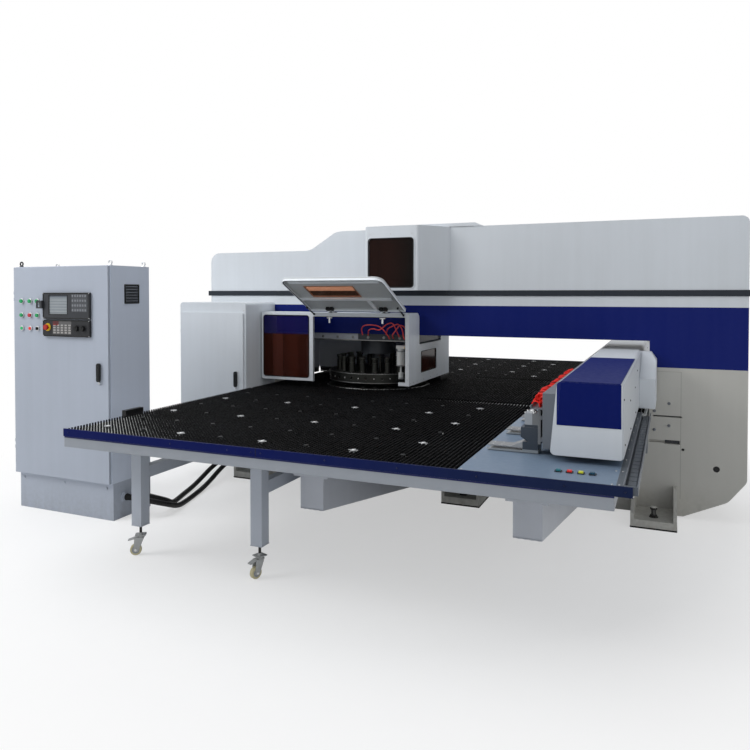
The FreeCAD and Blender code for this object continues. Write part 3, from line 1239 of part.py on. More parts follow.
def make_cabinet_body():
    back = CABINET_BACK
    front = CABINET_FRONT + CABINET_DOOR_THICK + GAP
    wall = CABINET_WALL
    shell = block(CABINET_LEFT, CABINET_RIGHT, front, back, PLINTH_HIGH, CABINET_HIGH)
    room = block(CABINET_LEFT + wall, CABINET_RIGHT - wall, front + wall, back - wall,
                 PLINTH_HIGH + wall, CABINET_HIGH - wall)
    mouth = block(CABINET_LEFT + 40, CABINET_RIGHT - 40, front, front + wall,
                  PLINTH_HIGH + 40, CABINET_HIGH - 40)
    y0, y1, z0, z1 = VENT
    pitch = (z1 - z0) / VENT_SLATS
    slats = [block(CABINET_RIGHT - wall, CABINET_RIGHT, y0, y1, z0 + i * pitch,
                   z0 + i * pitch + pitch * 0.45) for i in range(VENT_SLATS)]
    frame = block(CABINET_RIGHT, CABINET_RIGHT + 5, y0 - 8, y1 + 8, z0 - 8, z1 + 8).cut(
        block(CABINET_RIGHT, CABINET_RIGHT + 5, y0, y1, z0, z1))
    eyes = []
    for x in (CABINET_LEFT + 30, CABINET_RIGHT - 30):
        for y in (front + 30, back - 30):
            eyes.append(rod_z(x, y, CABINET_HIGH, CABINET_HIGH + 8, 14))
            eyes.append(Part.makeTorus(EYE_RADIUS - EYE_TUBE, EYE_TUBE,
                                       Vec(x, y, CABINET_HIGH + 6 + EYE_RADIUS), Vec(0, 1, 0)))
    return fused([shell.cut([room, mouth, *slats]), frame, *eyes, *cabinet_hinges()[0]])


def cabinet_door_edges():
    m = CABINET_DOOR_MARGIN
    return CABINET_LEFT, CABINET_RIGHT - m, PLINTH_HIGH + m / 2.0, CABINET_HIGH - m / 2.0


def make_cabinet_door():
    x0, x1, z0, z1 = cabinet_door_edges()
    front = CABINET_FRONT
    skin = block(x0, x1, front, front + CABINET_DOOR_THICK, z0, z1)
    hollow = block(x0 + 30, x1 - 30, front + 3, front + CABINET_DOOR_THICK, z0 + 30, z1 - 30)
    wells = []
    for x, z in push_button_spots():
        wells.append(rod_y(x, z, front - COLLAR_HIGH, front + CABINET_DOOR_THICK,
                           BUTTON_RADIUS + GAP))
    collars = [rod_y(x, z, front - COLLAR_HIGH, front, COLLAR_RADIUS)
               for x, z in push_button_spots()]
    plate = handle_plate(CABINET_HANDLE_X, CABINET_HANDLE_TOP, front)
    return fused([skin.cut(hollow), *collars, *cabinet_hinges()[1], plate]).cut(wells)


def push_button_spots():
    """Start, stop and selector, in the bottom row."""
    return [(x, LAMP_ROWS[2]) for x in LAMP_COLUMNS]


def make_push_button(x, z):
    front = CABINET_FRONT
    stem = rod_y(x, z, front - COLLAR_HIGH - BUTTON_TRAVEL - 1, front + 2, BUTTON_RADIUS)
    return stem


def make_selector(x, z):
    front = CABINET_FRONT - COLLAR_HIGH
    stem = rod_y(x, z, front - 3, CABINET_FRONT + 2, BUTTON_RADIUS)
    lever = slab_xz(rect(x - 4, x + 4, z - BUTTON_RADIUS + 1, z + BUTTON_RADIUS - 1, 3),
                    front - 14, front - 3)
    return fused([stem, lever])


def make_indicator_lamps():
    lamps = []
    for z in LAMP_ROWS[:2]:
        for x in LAMP_COLUMNS:
            bezel = rod_y(x, z, CABINET_FRONT - 8, CABINET_FRONT, LAMP_RADIUS + 4)
            lens = rod_y(x, z, CABINET_FRONT - LAMP_PROUD, CABINET_FRONT - 8, LAMP_RADIUS)
            rim = [edge for edge in lens.Edges if edge.BoundBox.YMax < CABINET_FRONT - LAMP_PROUD + 1]
            lamps.append(fused([bezel, lens.makeFillet(6, rim)]))
    return lamps


def make_display_unit():
    x0, x1, z0, z1 = DISPLAY
    front = CABINET_FRONT - DISPLAY_THICK
    body = slab_xz(rect(x0, x1, z0, z1, 6), front, CABINET_FRONT)
    a0, a1, b0, b1 = SCREEN
    screen = slab_xz(rect(a0, a1, b0, b1, 4), front, front + SCREEN_DEEP)
    keys = [block(x, x + KEY_SIZE, front - KEY_HIGH, front, z, z + KEY_SIZE)
            for x, z in grid(KEY_FIELD, KEY_COLUMNS, KEY_ROWS, KEY_SIZE)]
    catch = fused([block(x0 - 52, x0 + 8, front - 22, front - 12, 1660, 1724),
                   block(x0 - 4, x0 + 8, front - 12, CABINET_FRONT, 1660, 1724)])
    catch = catch.cut(block(x0 - 42, x0 - 14, front - 22, front - 12, 1672, 1712))
    return fused([body.cut(screen), *keys, catch])


def grid(field, columns, rows, size):
    x0, x1, z0, z1 = field
    for i in range(columns):
        for j in range(rows):
            yield (x0 + i * (x1 - x0 - size) / (columns - 1), z0 + j * (z1 - z0 - size) / (rows - 1))


def make_operator_panel():
    x0, x1, z0, z1 = PANEL
    front = CABINET_FRONT - DISPLAY_THICK
    body = slab_xz(rect(x0, x1, z0, z1, 6), front, CABINET_FRONT)
    ring = rod_y(STOP_X, STOP_Z, front - 5, front, STOP_RADIUS + 9)
    wells = [rod_y(STOP_X, STOP_Z, front - 5, front + 12, 12 + GAP)]
    wells += [rod_y(x, KNOB_Z, front, front + 10, 8 + GAP) for x in KNOB_XS]
    places = grid(PANEL_KEY_FIELD, PANEL_KEY_COLUMNS, PANEL_KEY_ROWS, PANEL_KEY_WIDE)
    keys = [block(x, x + PANEL_KEY_WIDE, front - KEY_HIGH, front, z, z + PANEL_KEY_TALL)
            for x, z in places]
    return fused([body, ring, *keys]).cut(wells)


def make_emergency_stop():
    front = CABINET_FRONT - DISPLAY_THICK - 5
    stem = rod_y(STOP_X, STOP_Z, front - 9, front + 10, 12)
    cap = rod_y(STOP_X, STOP_Z, front - 24, front - 9, STOP_RADIUS)
    return fused([stem, cap])


def make_knob(x):
    front = CABINET_FRONT - DISPLAY_THICK
    stem = rod_y(x, KNOB_Z, front - 1, front + 9, 8)
    body = rod_y(x, KNOB_Z, front - 1 - KNOB_HIGH, front - 1, KNOB_RADIUS)
    mark = block(x - 3, x + 3, front - 4 - KNOB_HIGH, front - 1 - KNOB_HIGH, KNOB_Z, KNOB_Z + 18)
    return fused([stem, body, mark])


# ---------------------------------------------------------------- deck buttons and conduits

def make_deck_button(x):
    half = DECK_BUTTON_SIZE / 2.0
    return block(x - half, x + half, DECK_BUTTON_Y - half, DECK_BUTTON_Y + half,
                 TABLE_TOP - DECK_SHEET + 2, TABLE_TOP + DECK_BEZEL_HIGH + DECK_BUTTON_HIGH)


def routed_tube(name, route, radius):
    """Tube along straight runs joined by tangent arcs, each as large as its runs allow."""
    at = [Vec(*point) for point in route]
    edges = []
    tightest = None
    start = at[0]
    for i in range(1, len(at) - 1):
        before, corner, after = at[i - 1:i + 2]
        shorter = min((corner - before).Length, (after - corner).Length)
        turn = (corner - before).getAngle(after - corner)
        bend = 0.45 * shorter / math.tan(turn / 2.0)
        first, middle, last = corner_arc(before, corner, after, bend)
        edges.append(Part.LineSegment(start, first).toShape())
        edges.append(Part.Arc(first, middle, last).toShape())
        tightest = bend if tightest is None else min(tightest, bend)
        start = last
    edges.append(Part.LineSegment(start, at[-1]).toShape())
    length = sum(edge.Length for edge in edges)
    path = Part.Wire(edges)
    ring = Part.Wire([Part.makeCircle(radius, at[0], at[1] - at[0])])
    tube = path.makePipeShell([ring], True, False)
    expected = math.pi * radius ** 2 * length
    print("%s: length %.0f, tightest radius %.0f (%.1f diameters), volume ratio %.4f"
          % (name, length, tightest, tightest / (2 * radius), tube.Volume / expected))
    return tube


def make_frame_glands():
    """Flanges on the frame's face where the conduits go in."""
    glands = []
    for route in (ROUTE_A, ROUTE_B):
        x, y, z = route[-1]
        glands.append(fused([rod_y(x, z, FRAME_FRONT - 16, FRAME_FRONT, GLAND_RADIUS + 6),
                             rod_y(x, z, y, FRAME_FRONT - 16, GLAND_RADIUS - 4)]))
    return glands


# ---------------------------------------------------------------- build

def build():
    os.makedirs("parts", exist_ok=True)
    export("main_frame", make_main_frame())
    export("accent_stripe", make_accent_stripe())
    export("frame_feet", *make_frame_feet(), *make_frame_glands())
    export("ram_housing", make_ram_housing())
    export("ram_cylinder", make_ram_cylinder())
    export("ram", make_ram())
    export("viewing_windows", *make_viewing_windows())

    export("side_enclosure", make_side_enclosure())
    export("side_enclosure_door", make_side_door())
    side_door_front = FRAME_FRONT - SIDE_DEPTH - GAP - DOOR_THICK
    export("side_enclosure_handle",
           make_turning_handle(SIDE_HANDLE_X, SIDE_HANDLE_TOP, side_door_front))

    export("table_frames", *make_table_frames())
    front_brush = make_front_brush()
    export("brush_tables", front_brush, rear_copy(front_brush), make_centre_brush())
    export("deck_plates", *make_deck_plates())
    export("edge_channels", *make_side_channels())
    export("table_fascias", *make_fascias())
    export("ball_transfers", *make_ball_transfers())
    export("castor_legs", *both_sides(make_leg(LEG_CENTRES[0]) + make_leg(LEG_CENTRES[1])))
    arms = []
    for x in ARM_CENTRES:
        arms += make_support_arm(x)
    export("support_arms", *both_sides(arms))
    export("rail_beams", *both_sides(make_rail_beam()))
    fork = make_castor_fork()
    wheel = make_castor_wheel()
    for i, (x, y, turn) in enumerate(castor_spots()):
        export("castor_fork_%d" % (i + 1), at_castor(fork, x, y, turn))
        export("castor_wheel_%d" % (i + 1), at_castor(wheel, x, y, turn))

    export("upper_turret", make_upper_turret())
    export("punch_tools", *make_punch_tools())
    export("lower_turret", make_lower_turret())
    export("turret_carrier", *make_turret_carrier())
    export("lubricator", make_lubricator())
    export("turret_guard", make_turret_guard())
    export("guard_lid", make_guard_lid())
    export("lid_window", make_lid_window())
    export("guard_hinges", *make_guard_hinges())

    export("carriage_beam", make_carriage_beam())
    export("beam_cover", make_beam_cover())
    export("air_hoses", *make_air_hoses())
    export("clamp_carriage", make_clamp_carriage())
    export("clamp_jaws", *[make_clamp_jaw(y) for y in CLAMP_CENTRES])

    export("cabinet_plinth", make_cabinet_plinth())
    export("cabinet_body", make_cabinet_body())
    export("cabinet_door", make_cabinet_door())
    export("cabinet_handle", make_turning_handle(CABINET_HANDLE_X, CABINET_HANDLE_TOP, CABINET_FRONT))
    export("display_unit", make_display_unit())
    export("operator_panel", make_operator_panel())
    export("indicator_lamps", *make_indicator_lamps())
    spots = push_button_spots()
    export("start_button", make_push_button(*spots[0]))
    export("stop_button", make_push_button(*spots[1]))
    export("selector_switch", make_selector(*spots[2]))
    export("emergency_stop", make_emergency_stop())
    export("feed_knob", make_knob(KNOB_XS[0]))
    export("speed_knob", make_knob(KNOB_XS[1]))
    for i, x in enumerate(DECK_BUTTON_XS):
        export("deck_button_%d" % (i + 1), make_deck_button(x))

    export("conduit_outer", routed_tube("conduit_outer", ROUTE_A, CONDUIT_RADIUS))
    export("conduit_inner", routed_tube("conduit_inner", ROUTE_B, CONDUIT_RADIUS))


build()
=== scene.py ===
import math
import random

import bmesh
import bpy
from bpy.props import FloatProperty, FloatVectorProperty, PointerProperty
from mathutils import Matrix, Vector


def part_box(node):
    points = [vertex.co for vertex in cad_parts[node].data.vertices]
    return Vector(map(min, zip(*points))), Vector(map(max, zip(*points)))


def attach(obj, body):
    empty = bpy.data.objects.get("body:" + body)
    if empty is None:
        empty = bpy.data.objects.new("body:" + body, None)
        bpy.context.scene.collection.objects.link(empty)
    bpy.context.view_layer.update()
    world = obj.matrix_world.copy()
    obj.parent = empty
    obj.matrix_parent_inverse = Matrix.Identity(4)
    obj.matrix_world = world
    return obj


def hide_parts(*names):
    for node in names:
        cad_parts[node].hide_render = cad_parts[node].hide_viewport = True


bl_info = {
    "name": "Turret punch press",
    "version": (1, 0, 0),
    "blender": (4, 5, 0),
    "location": "3D View > Sidebar > Press",
    "description": "Finishes and fittings of a closed-frame turret punch press",
    "category": "Object",
}

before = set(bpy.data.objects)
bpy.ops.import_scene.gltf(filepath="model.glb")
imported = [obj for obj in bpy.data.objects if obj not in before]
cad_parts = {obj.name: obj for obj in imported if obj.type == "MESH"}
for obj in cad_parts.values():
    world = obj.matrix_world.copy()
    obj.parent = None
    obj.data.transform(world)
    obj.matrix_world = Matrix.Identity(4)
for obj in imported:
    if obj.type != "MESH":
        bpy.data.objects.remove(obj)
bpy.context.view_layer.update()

# Places are in the machine's own millimetres: X from its datum, Y from the middle of its frame,
# Z from the floor. at() turns them into the frame's metres.
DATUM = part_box("main_frame")[0].x + 2.501
UP, FRONT, RIGHT, LEFT = (0, 0, 1), (0, -1, 0), (1, 0, 0), (-1, 0, 0)
SOFT = 0.0008                       # half width of a paint edge, in metres

FEET = (-1803, 298, 1803)
LEVEL_BOLT_Y = 590
LEGS = (-1399, -447)
ARMS = (-186.5, 1183.5)
TABLE_TOP = 905
TABLE_END = 2961                    # the brush boards' outer ends, front and rear
BOARD_TOP = 885
DECK_BUTTONS = ((1410, "teal_cap"), (1464, "red_cap"), (1518, "yellow_cap"), (1572, "blue_cap"))
TURRET_X = -742
STATIONS = 20
STATION_RADIUS = 380
RIM_RADIUS = 480.6
COLLAR_SCREW_RADIUS = 455
LID_Y, LID_Z = -600, 1617           # the lid's hinge axis
LID_OPEN = math.radians(116.0)
CLAMPS = (-2430, -1960, -1490)
CONDUIT_RADIUS = 20
CASTOR_TURNS = (215, 250, 140, 320)


def at(x, y, z):
    return Vector((x * 0.001 + DATUM, y * 0.001, z * 0.001))


def srgb(red, green, blue):
    """A colour given from 0 to 255, as Blender's linear colour."""
    def linear(value):
        share = value / 255.0
        return share / 12.92 if share <= 0.04045 else ((share + 0.055) / 1.055) ** 2.4
    return linear(red), linear(green), linear(blue)


def shaded(colour, factor):
    return tuple(min(channel * factor, 1.0) for channel in colour)


def circle(count, radius, start=0.0):
    """Points round a circle, as pairs."""
    angles = [math.tau * i / count + start for i in range(count)]
    return [(radius * math.cos(angle), radius * math.sin(angle)) for angle in angles]


def span(out, first, second):
    """Two distances in front of the middle (out is -1) or behind it (1), the lower one first."""
    return sorted((out * first, out * second))


def placed(name, data):
    """An object of this data, in the scene."""
    piece = bpy.data.objects.new(name, data)
    bpy.context.scene.collection.objects.link(piece)
    return piece


# ------------------------------------------------------------------ settings

def colour_setting(name, description, *tone):
    return FloatVectorProperty(name=name, description=description, default=srgb(*tone), size=3,
                               subtype="COLOR", min=0.0, max=1.0)


def length_setting(name, description, value):
    return FloatProperty(name=name, description=description, default=value, min=0.0,
                         subtype="DISTANCE", unit="LENGTH")


def power_setting(name, description, value):
    return FloatProperty(name=name, description=description, default=value, min=0.0, unit="POWER")


class PressColours(bpy.types.PropertyGroup):
    white: colour_setting("White paint", "Frame, hood, guard and cover", 214, 219, 224)
    warm_grey: colour_setting("Warm grey paint", "Lower frame and feet", 188, 187, 181)
    cabinet: colour_setting("Cabinet paint", "Control cabinet and its plinth", 168, 175, 187)
    navy: colour_setting("Navy paint", "Band on the frame, fascias and cover", 15, 30, 104)
    stripe: colour_setting("Dark stripe", "Stripe round the frame", 46, 51, 58)
    deck: colour_setting("Deck paint", "Metal deck beside the brushes", 122, 140, 161)
    bristle: colour_setting("Bristles", "Nylon of the brush tables", 14, 14, 15)
    amber: colour_setting("Amber acrylic", "Viewing windows", 58, 24, 15)
    hose: colour_setting("Air hose", "Polyurethane hoses", 244, 44, 34)


class PressSizes(bpy.types.PropertyGroup):
    tuft_pitch: length_setting("Tuft pitch", "Distance between bristle tufts", 0.025)
    tuft_width: length_setting("Tuft width", "Width of a tuft at its foot", 0.0165)
    tuft_tip: length_setting("Tuft tip", "Width of a tuft at its tip", 0.0155)
    rib_pitch: length_setting("Rib pitch", "Distance between ribs of a conduit", 0.016)
    rib_height: length_setting("Rib height", "How far a rib stands out of a conduit", 0.0012)


class PressStudio(bpy.types.PropertyGroup):
    key: power_setting("Key light", "Power of the front left lamp", 235.0)
    fill: power_setting("Fill light", "Power of the right lamp", 170.0)
    top: power_setting("Top light", "Power of the overhead lamp", 220.0)
    front: power_setting("Front light", "Power of the low lamp in front", 48.0)
    ambient: FloatProperty(name="Ambient", description="Strength of the world's light",
                           default=0.36, min=0.0)


def colours():
    return bpy.context.scene.press_colours


def sizes():
    return bpy.context.scene.press_sizes


# ------------------------------------------------------------------ materials

class Wire:
    """An output socket. Arithmetic on it adds Math nodes."""

    def __init__(self, nodes, socket):
        self.nodes = nodes
        self.socket = socket

    def math(self, operation, first, second):
        return self.nodes.node("ShaderNodeMath", {"operation": operation}, {0: first, 1: second})

    def __add__(self, other):
        return self.math("ADD", self, other)

    def __radd__(self, other):
        return self.math("ADD", other, self)

    def __sub__(self, other):
        return self.math("SUBTRACT", self, other)

    def __rsub__(self, other):
        return self.math("SUBTRACT", other, self)

    def __mul__(self, other):
        return self.math("MULTIPLY", self, other)

    def __rmul__(self, other):
        return self.math("MULTIPLY", other, self)


class Nodes:
    """The nodes of a finish or of the surround."""

    def __init__(self, tree):
        self.tree = tree

    def join(self, value, socket):
        if isinstance(value, Wire):
            self.tree.links.new(value.socket, socket)
        elif socket.type == "RGBA":
            socket.default_value = (*value[:3], 1.0)
        else:
            socket.default_value = value

    def node(self, kind, settings=(), sockets=(), out=0):
        """One node: its settings first, then the values or links of its sockets."""
        node = self.tree.nodes.new(kind)
        for setting, value in dict(settings).items():
            setattr(node, setting, value)
        for socket, value in dict(sockets).items():
            self.join(value, node.inputs[socket])
        return Wire(self, node.outputs[out]) if node.outputs else None

    def rays(self):
        """1 where a camera looks at a surface, where a mirror does, and where a clear pane does."""
        return [self.node("ShaderNodeLightPath", out="Is %s Ray" % kind)
                for kind in ("Camera", "Glossy", "Transmission")]


class Finish(Nodes):
    """A material with one Principled shader, and the nodes that vary its surface."""

    def __init__(self, name, uniform=()):
        self.material = bpy.data.materials.new(name + "_finish")
        self.material.use_nodes = True
        super().__init__(self.material.node_tree)
        self.shader = self.tree.nodes["Principled BSDF"]
        for socket, value in dict(uniform).items():
            self.shader.inputs[socket].default_value = value
        self.place = self.node("ShaderNodeTexCoord", out="Object")
        self.x, self.y, self.z = [self.node("ShaderNodeSeparateXYZ", {}, {0: self.place}, out)
                                  for out in range(3)]

    def set(self, socket, value):
        self.join(value, self.shader.inputs[socket])

    def base(self, colour):
        """A colour, the colour setting of that name, or what a function of zones gives."""
        if isinstance(colour, str):
            return getattr(colours(), colour)
        return colour(self) if callable(colour) else colour

    def mix(self, factor, first, second, blend="MIX"):
        return self.node("ShaderNodeMix", {"data_type": "RGBA", "blend_type": blend},
                         {0: factor, 6: first, 7: second}, 2)

    def noise(self, scale, detail=3.0, stretch=None):
        place = self.place
        if stretch:
            place = self.node("ShaderNodeVectorMath", {"operation": "MULTIPLY"},
                              {0: place, 1: stretch})
        return self.node("ShaderNodeTexNoise", {},
                         {"Vector": place, "Scale": scale, "Detail": detail})

    def step(self, value, edge, soft=SOFT):
        """0 below the edge and 1 above it, with a ramp of the given half width between."""
        return self.node("ShaderNodeMapRange", {"clamp": True},
                         {"Value": value, "From Min": edge - soft, "From Max": edge + soft})

    def between(self, value, low, high, soft=SOFT):
        return self.step(value, low, soft) * (1 - self.step(value, high, soft))

    def zone(self, x=None, y=None, z=None, soft=SOFT):
        """1 inside a box that is given in machine millimetres, and 0 outside it."""
        mask = None
        for wire, limits, shift in ((self.x, x, DATUM), (self.y, y, 0.0), (self.z, z, 0.0)):
            if limits:
                low, high = [limit * 0.001 + shift for limit in limits]
                inside = self.between(wire, low, high, soft)
                mask = inside if mask is None else mask * inside
        return mask

    def disc(self, x, z, radius):
        """1 inside a round zone of the front, given in machine millimetres."""
        spot = at(x, 0, z)
        across = self.x - spot.x
        up = self.z - spot.z
        reach = radius * 0.001
        return 1 - self.step(across * across + up * up, reach ** 2, 0.0012 * reach)

    def bevel(self, radius):
        """The surface's normal, turned as if its edges had this radius."""
        return self.node("ShaderNodeBevel", {"samples": 4}, {"Radius": radius})

    def edges(self, radius):
        """0 on flat faces, and more where a face turns over an edge."""
        flat = self.node("ShaderNodeNewGeometry", out="Normal")
        same = self.node("ShaderNodeVectorMath", {"operation": "DOT_PRODUCT"},
                         {0: self.bevel(radius), 1: flat}, "Value")
        return 1 - same

    def relief(self, height, distance, edge=0.0):
        """Bump from a height, over edges that are rounded by the given radius."""
        sockets = {"Height": height, "Distance": distance, "Strength": 1.0}
        if edge:
            sockets["Normal"] = self.bevel(edge)
        self.set("Normal", self.node("ShaderNodeBump", {}, sockets))


def painted(name, colour, dirt=0.3, shine=0.22, rough=0.4, edge=0.0035):
    """Sprayed steel: slight waves, orange peel, runs of dust, grime near the floor, pale edges of
    wear and painted highlight.
    """
    f = Finish(name, {"Specular IOR Level": shine})
    base = f.base(colour)
    cloud = f.noise(0.8, 4)
    speck = f.noise(34.0)
    runs = f.noise(1.0, 4, (13.0, 13.0, 0.8))
    tone = f.step(cloud * 0.55 + runs * 0.35 + speck * 0.1, 0.5, 0.16)
    dark = f.mix(1.0, base, (0.925, 0.925, 0.92), "MULTIPLY")
    light = f.mix(1.0, base, (1.045, 1.045, 1.05), "MULTIPLY")
    shade = f.mix(tone, dark, light)
    low = 1 - f.step(f.z, 0.14, 0.16)
    grime = f.step(runs * 0.6 + speck * 0.4, 0.5, 0.14) * dirt
    shade = f.mix(low * grime + grime * 0.08, shade, srgb(96, 90, 80))
    # Pale edges: partly wear, partly a painted highlight along every edge.
    worn = f.step(f.edges(edge) * f.step(speck, 0.44, 0.1), 0.16, 0.14)
    f.set("Base Color", f.mix(worn * 0.2, shade, srgb(206, 208, 210)))
    f.set("Roughness", rough + (speck - 0.5) * 0.16 + low * 0.15)
    f.relief(f.noise(2.2, 2) + speck * 0.06, 0.0009, edge)
    return f.material


def steel(name, colour, rough=0.3, stain=0.35, grain=(1.0, 1.0, 1.0)):
    """Machined or rolled steel: grain along one way, stains and brighter edges."""
    edge = 0.0015
    f = Finish(name, {"Metallic": 1.0})
    lines = f.noise(180.0, 3, grain)
    cloud = f.noise(7.0, 5)
    shade = f.mix(f.step(cloud, 0.52, 0.2) * stain, colour, shaded(colour, 0.45))
    shade = f.mix(lines * 0.25, shade, shaded(colour, 1.35))
    f.set("Base Color", f.mix(f.step(f.edges(edge), 0.2, 0.18) * 0.5, shade, (0.78, 0.78, 0.8)))
    f.set("Roughness", rough + (lines - 0.5) * 0.22 + cloud * 0.1)
    f.relief(lines, 0.00006, edge)
    return f.material


def moulded(name, colour, rough=0.42, grain=160.0, depth=0.00012, shine=0.22):
    """Moulded plastic or rubber: fine leather grain and rubbed high spots."""
    f = Finish(name, {"Specular IOR Level": shine})
    base = f.base(colour)
    skin = f.noise(grain, 4)
    cloud = f.noise(9.0)
    rubbed = f.step(f.edges(0.002) + cloud * 0.1, 0.28, 0.2)
    shade = f.mix(cloud, f.mix(1.0, base, (0.86, 0.86, 0.86), "MULTIPLY"), base)
    f.set("Base Color", f.mix(rubbed * 0.14, shade, (0.5, 0.5, 0.5)))
    f.set("Roughness", rough + (skin - 0.5) * 0.25)
    f.relief(skin, depth, 0.001)
    return f.material


def lens(name, colour, glow=0.25):
    """Push button or lamp cap: clear skin over a colour that is deeper at its rim, with a painted
    glow.
    """
    f = Finish(name, {"Specular IOR Level": 0.3, "Emission Strength": glow})
    ring = f.noise(300.0, 2)
    rim = f.step(f.edges(0.003), 0.2, 0.2)
    shade = f.mix(rim * 0.6, f.mix(ring, colour, shaded(colour, 1.3)), shaded(colour, 0.5))
    f.set("Base Color", shade)
    # Painted glow: the cap emits its own colour although it is no lamp.
    f.set("Emission Color", shade)
    f.set("Roughness", 0.22 + ring * 0.12)
    f.relief(ring, 0.0001, 0.001)
    return f.material


def nylon(name, colour):
    """Black nylon tufts whose tips are painted lighter, as dust and a painted highlight."""
    f = Finish(name, {"Specular IOR Level": 0.05})
    base = f.base(colour)
    tuft = f.noise(120.0, 2)
    cloud = f.noise(1.6, 4)
    tip = f.step(f.z, 0.903, 0.002)
    shade = f.mix(tuft, shaded(base, 0.4), shaded(base, 1.3))
    # Lighter tips: dust, and a painted highlight where the tips catch the light.
    dust = f.step(tuft * 0.5 + cloud * 0.5, 0.53, 0.09)
    f.set("Base Color", f.mix(tip * dust * 0.2, shade, srgb(70, 72, 76)))
    f.set("Roughness", 0.5 + (tuft - 0.5) * 0.3)
    f.relief(tuft, 0.0006)
    return f.material


def tinted_acrylic(name, colour):
    """Dark acrylic sheet: glossy, slightly uneven, clearer in front of the frame's band where it is
    painted navy as a painted reflection of the band, with a painted sheen on the bay pane and
    painted shade on the hood's pane.
    """
    f = Finish(name, {"IOR": 1.2, "Specular IOR Level": 0.35})
    base = f.base(colour)
    cloud = f.noise(2.6, 4)
    streak = f.noise(1.0, 2, (5.0, 5.0, 0.2))
    dust = f.noise(70.0)
    # In front of the frame's band: clearer, and painted navy as a painted reflection of the band.
    band = f.zone(y=(-620, -560), z=(1400, 1590), soft=0.004)
    shade = f.mix(f.step(streak, 0.52, 0.08), shaded(base, 0.85), shaded(base, 1.5))
    shade = f.mix(cloud * 0.4, shade, shaded(base, 0.6))
    # Painted sheen: a lighter upright band on the bay pane.
    sheen = f.zone(x=(-1585, -1485), z=(990, 1400), soft=0.014)
    shade = f.mix(sheen * 0.5, shade, srgb(86, 48, 40))
    # Painted shade: the hood's pane is darkened, more towards its right.
    hood = f.step(f.z, 1.8) * (0.6 + 0.38 * f.step(f.x, DATUM - 0.33, 0.2))
    shade = f.mix(hood, shade, srgb(12, 13, 12))
    f.set("Base Color", f.mix(band * 0.75, shade, shaded(colours().navy, 0.9)))
    f.set("Alpha", 0.94 + (cloud - 0.5) * 0.06 - band * 0.3)
    f.set("Roughness", 0.05 + dust * 0.08)
    f.relief(f.noise(3.0, 1), 0.0008)
    return f.material


def clear_acrylic(name, colour):
    """Orange acrylic that is looked through: what lies behind it takes its colour."""
    f = Finish(name, {"Transmission Weight": 1.0, "IOR": 1.06})
    cloud = f.noise(3.0)
    f.set("Base Color", f.mix(cloud, colour, (0.72, 0.33, 0.19)))
    f.set("Roughness", 0.02 + cloud * 0.03)
    f.relief(cloud, 0.0003)
    return f.material


def frame_zones(f):
    """White top and strip, navy band, and warm grey below with its joint line."""
    c = colours()
    body = f.mix(f.step(f.z, 1.40), c.warm_grey, c.white)
    band = f.zone(x=(-1745, 2600), z=(1400, 1672))
    shoulder = f.zone(x=(1757, 2600), z=(1190, 1401))
    white = f.zone(z=(1672, 2500))
    navy = f.step(band + shoulder, 0.5, 0.1)
    left = f.zone(x=(-2600, -1745), z=(0, 1673))
    shade = f.mix(left, f.mix(white, body, c.white), c.white)
    shade = f.mix(navy, shade, c.navy)
    line = f.zone(x=(1989, 1993), z=(150, 1160)) + f.zone(x=(1757, 1991), z=(1157, 1160))
    return f.mix(line * 0.35, shade, srgb(60, 60, 58))


def fascia_painted_shade_zones(f):
    """Navy at the brushes and a darker slate blue along the deck, both darkened as painted shade.
    """
    # Painted shade: the fascias' navy is darkened, and darker still along the deck.
    return f.mix(f.step(f.x, 0.9, 0.9), shaded(colours().navy, 0.62), srgb(22, 34, 66))


def guard_painted_light_zones(f):
    """White, with the guard's right side painted lighter as painted light."""
    white = colours().white
    # Painted light: the right side is made lighter than the rest of the guard.
    return f.mix(f.step(f.x, DATUM - 0.2006, 0.0002), shaded(white, 0.98), shaded(white, 1.35))


def table_frame_zones(f):
    """Grey rails, with the fascias' navy, darkened as painted shade, carried over their top edge.
    """
    edge = f.zone(z=(845, 900)) * (f.step(f.y, 2.95) + 1 - f.step(f.y, -2.95))
    # The navy here is darkened as painted shade, as on the fascias.
    return f.mix(edge, srgb(150, 155, 162), shaded(colours().navy, 0.62))


def foot_zones(f):
    """Grey feet, painted lighter than the frame's warm grey as painted light, with black levelling
    bolts.
    """
    bolts = 0
    for x in FEET:
        for y in (-LEVEL_BOLT_Y, LEVEL_BOLT_Y):
            bolts = f.zone(x=(x - 28, x + 28), y=(y - 28, y + 28), z=(66, 140)) + bolts
    # Painted light: the feet's warm grey is made lighter than the frame's.
    return f.mix(bolts, shaded(colours().warm_grey, 1.15), srgb(26, 27, 29))


def channel_zones(f):
    """Grey channels, and black stops on the table's left edge."""
    return f.mix(1 - f.step(f.x, DATUM - 1.7), srgb(88, 94, 101), srgb(22, 23, 25))


def lid_painted_light_zones(f):
    """White lid, painted lighter as painted light, whose inner sheet between its ribs and its rim
    is painted grey as painted shade.
    """
    across, down = f.y - LID_Y * 0.001, LID_Z * 0.001 - f.z
    depth = across * math.cos(LID_OPEN) + down * math.sin(LID_OPEN)
    sheet = f.between(depth, -0.0243, -0.012)
    # Painted light on the ribs and rim, painted shade on the sheet between them.
    return f.mix(sheet, shaded(colours().white, 1.3), srgb(196, 200, 202))


def carrier_painted_shade_zones(f):
    """Front face on the carrier's left part painted pale as painted light, and dark grey elsewhere
    as painted shade.
    """
    face = f.zone(x=(-1600, -826), y=(-310, -297), soft=0.004)
    # Painted light on the pale face and painted shade on the dark grey rest.
    return f.mix(face, srgb(60, 64, 70), srgb(186, 190, 198))


def castor_zones(f):
    """Black stem over the zinc plate and fork."""
    return f.mix(f.step(f.z, 0.153, 0.001), srgb(178, 180, 180), srgb(22, 22, 24))


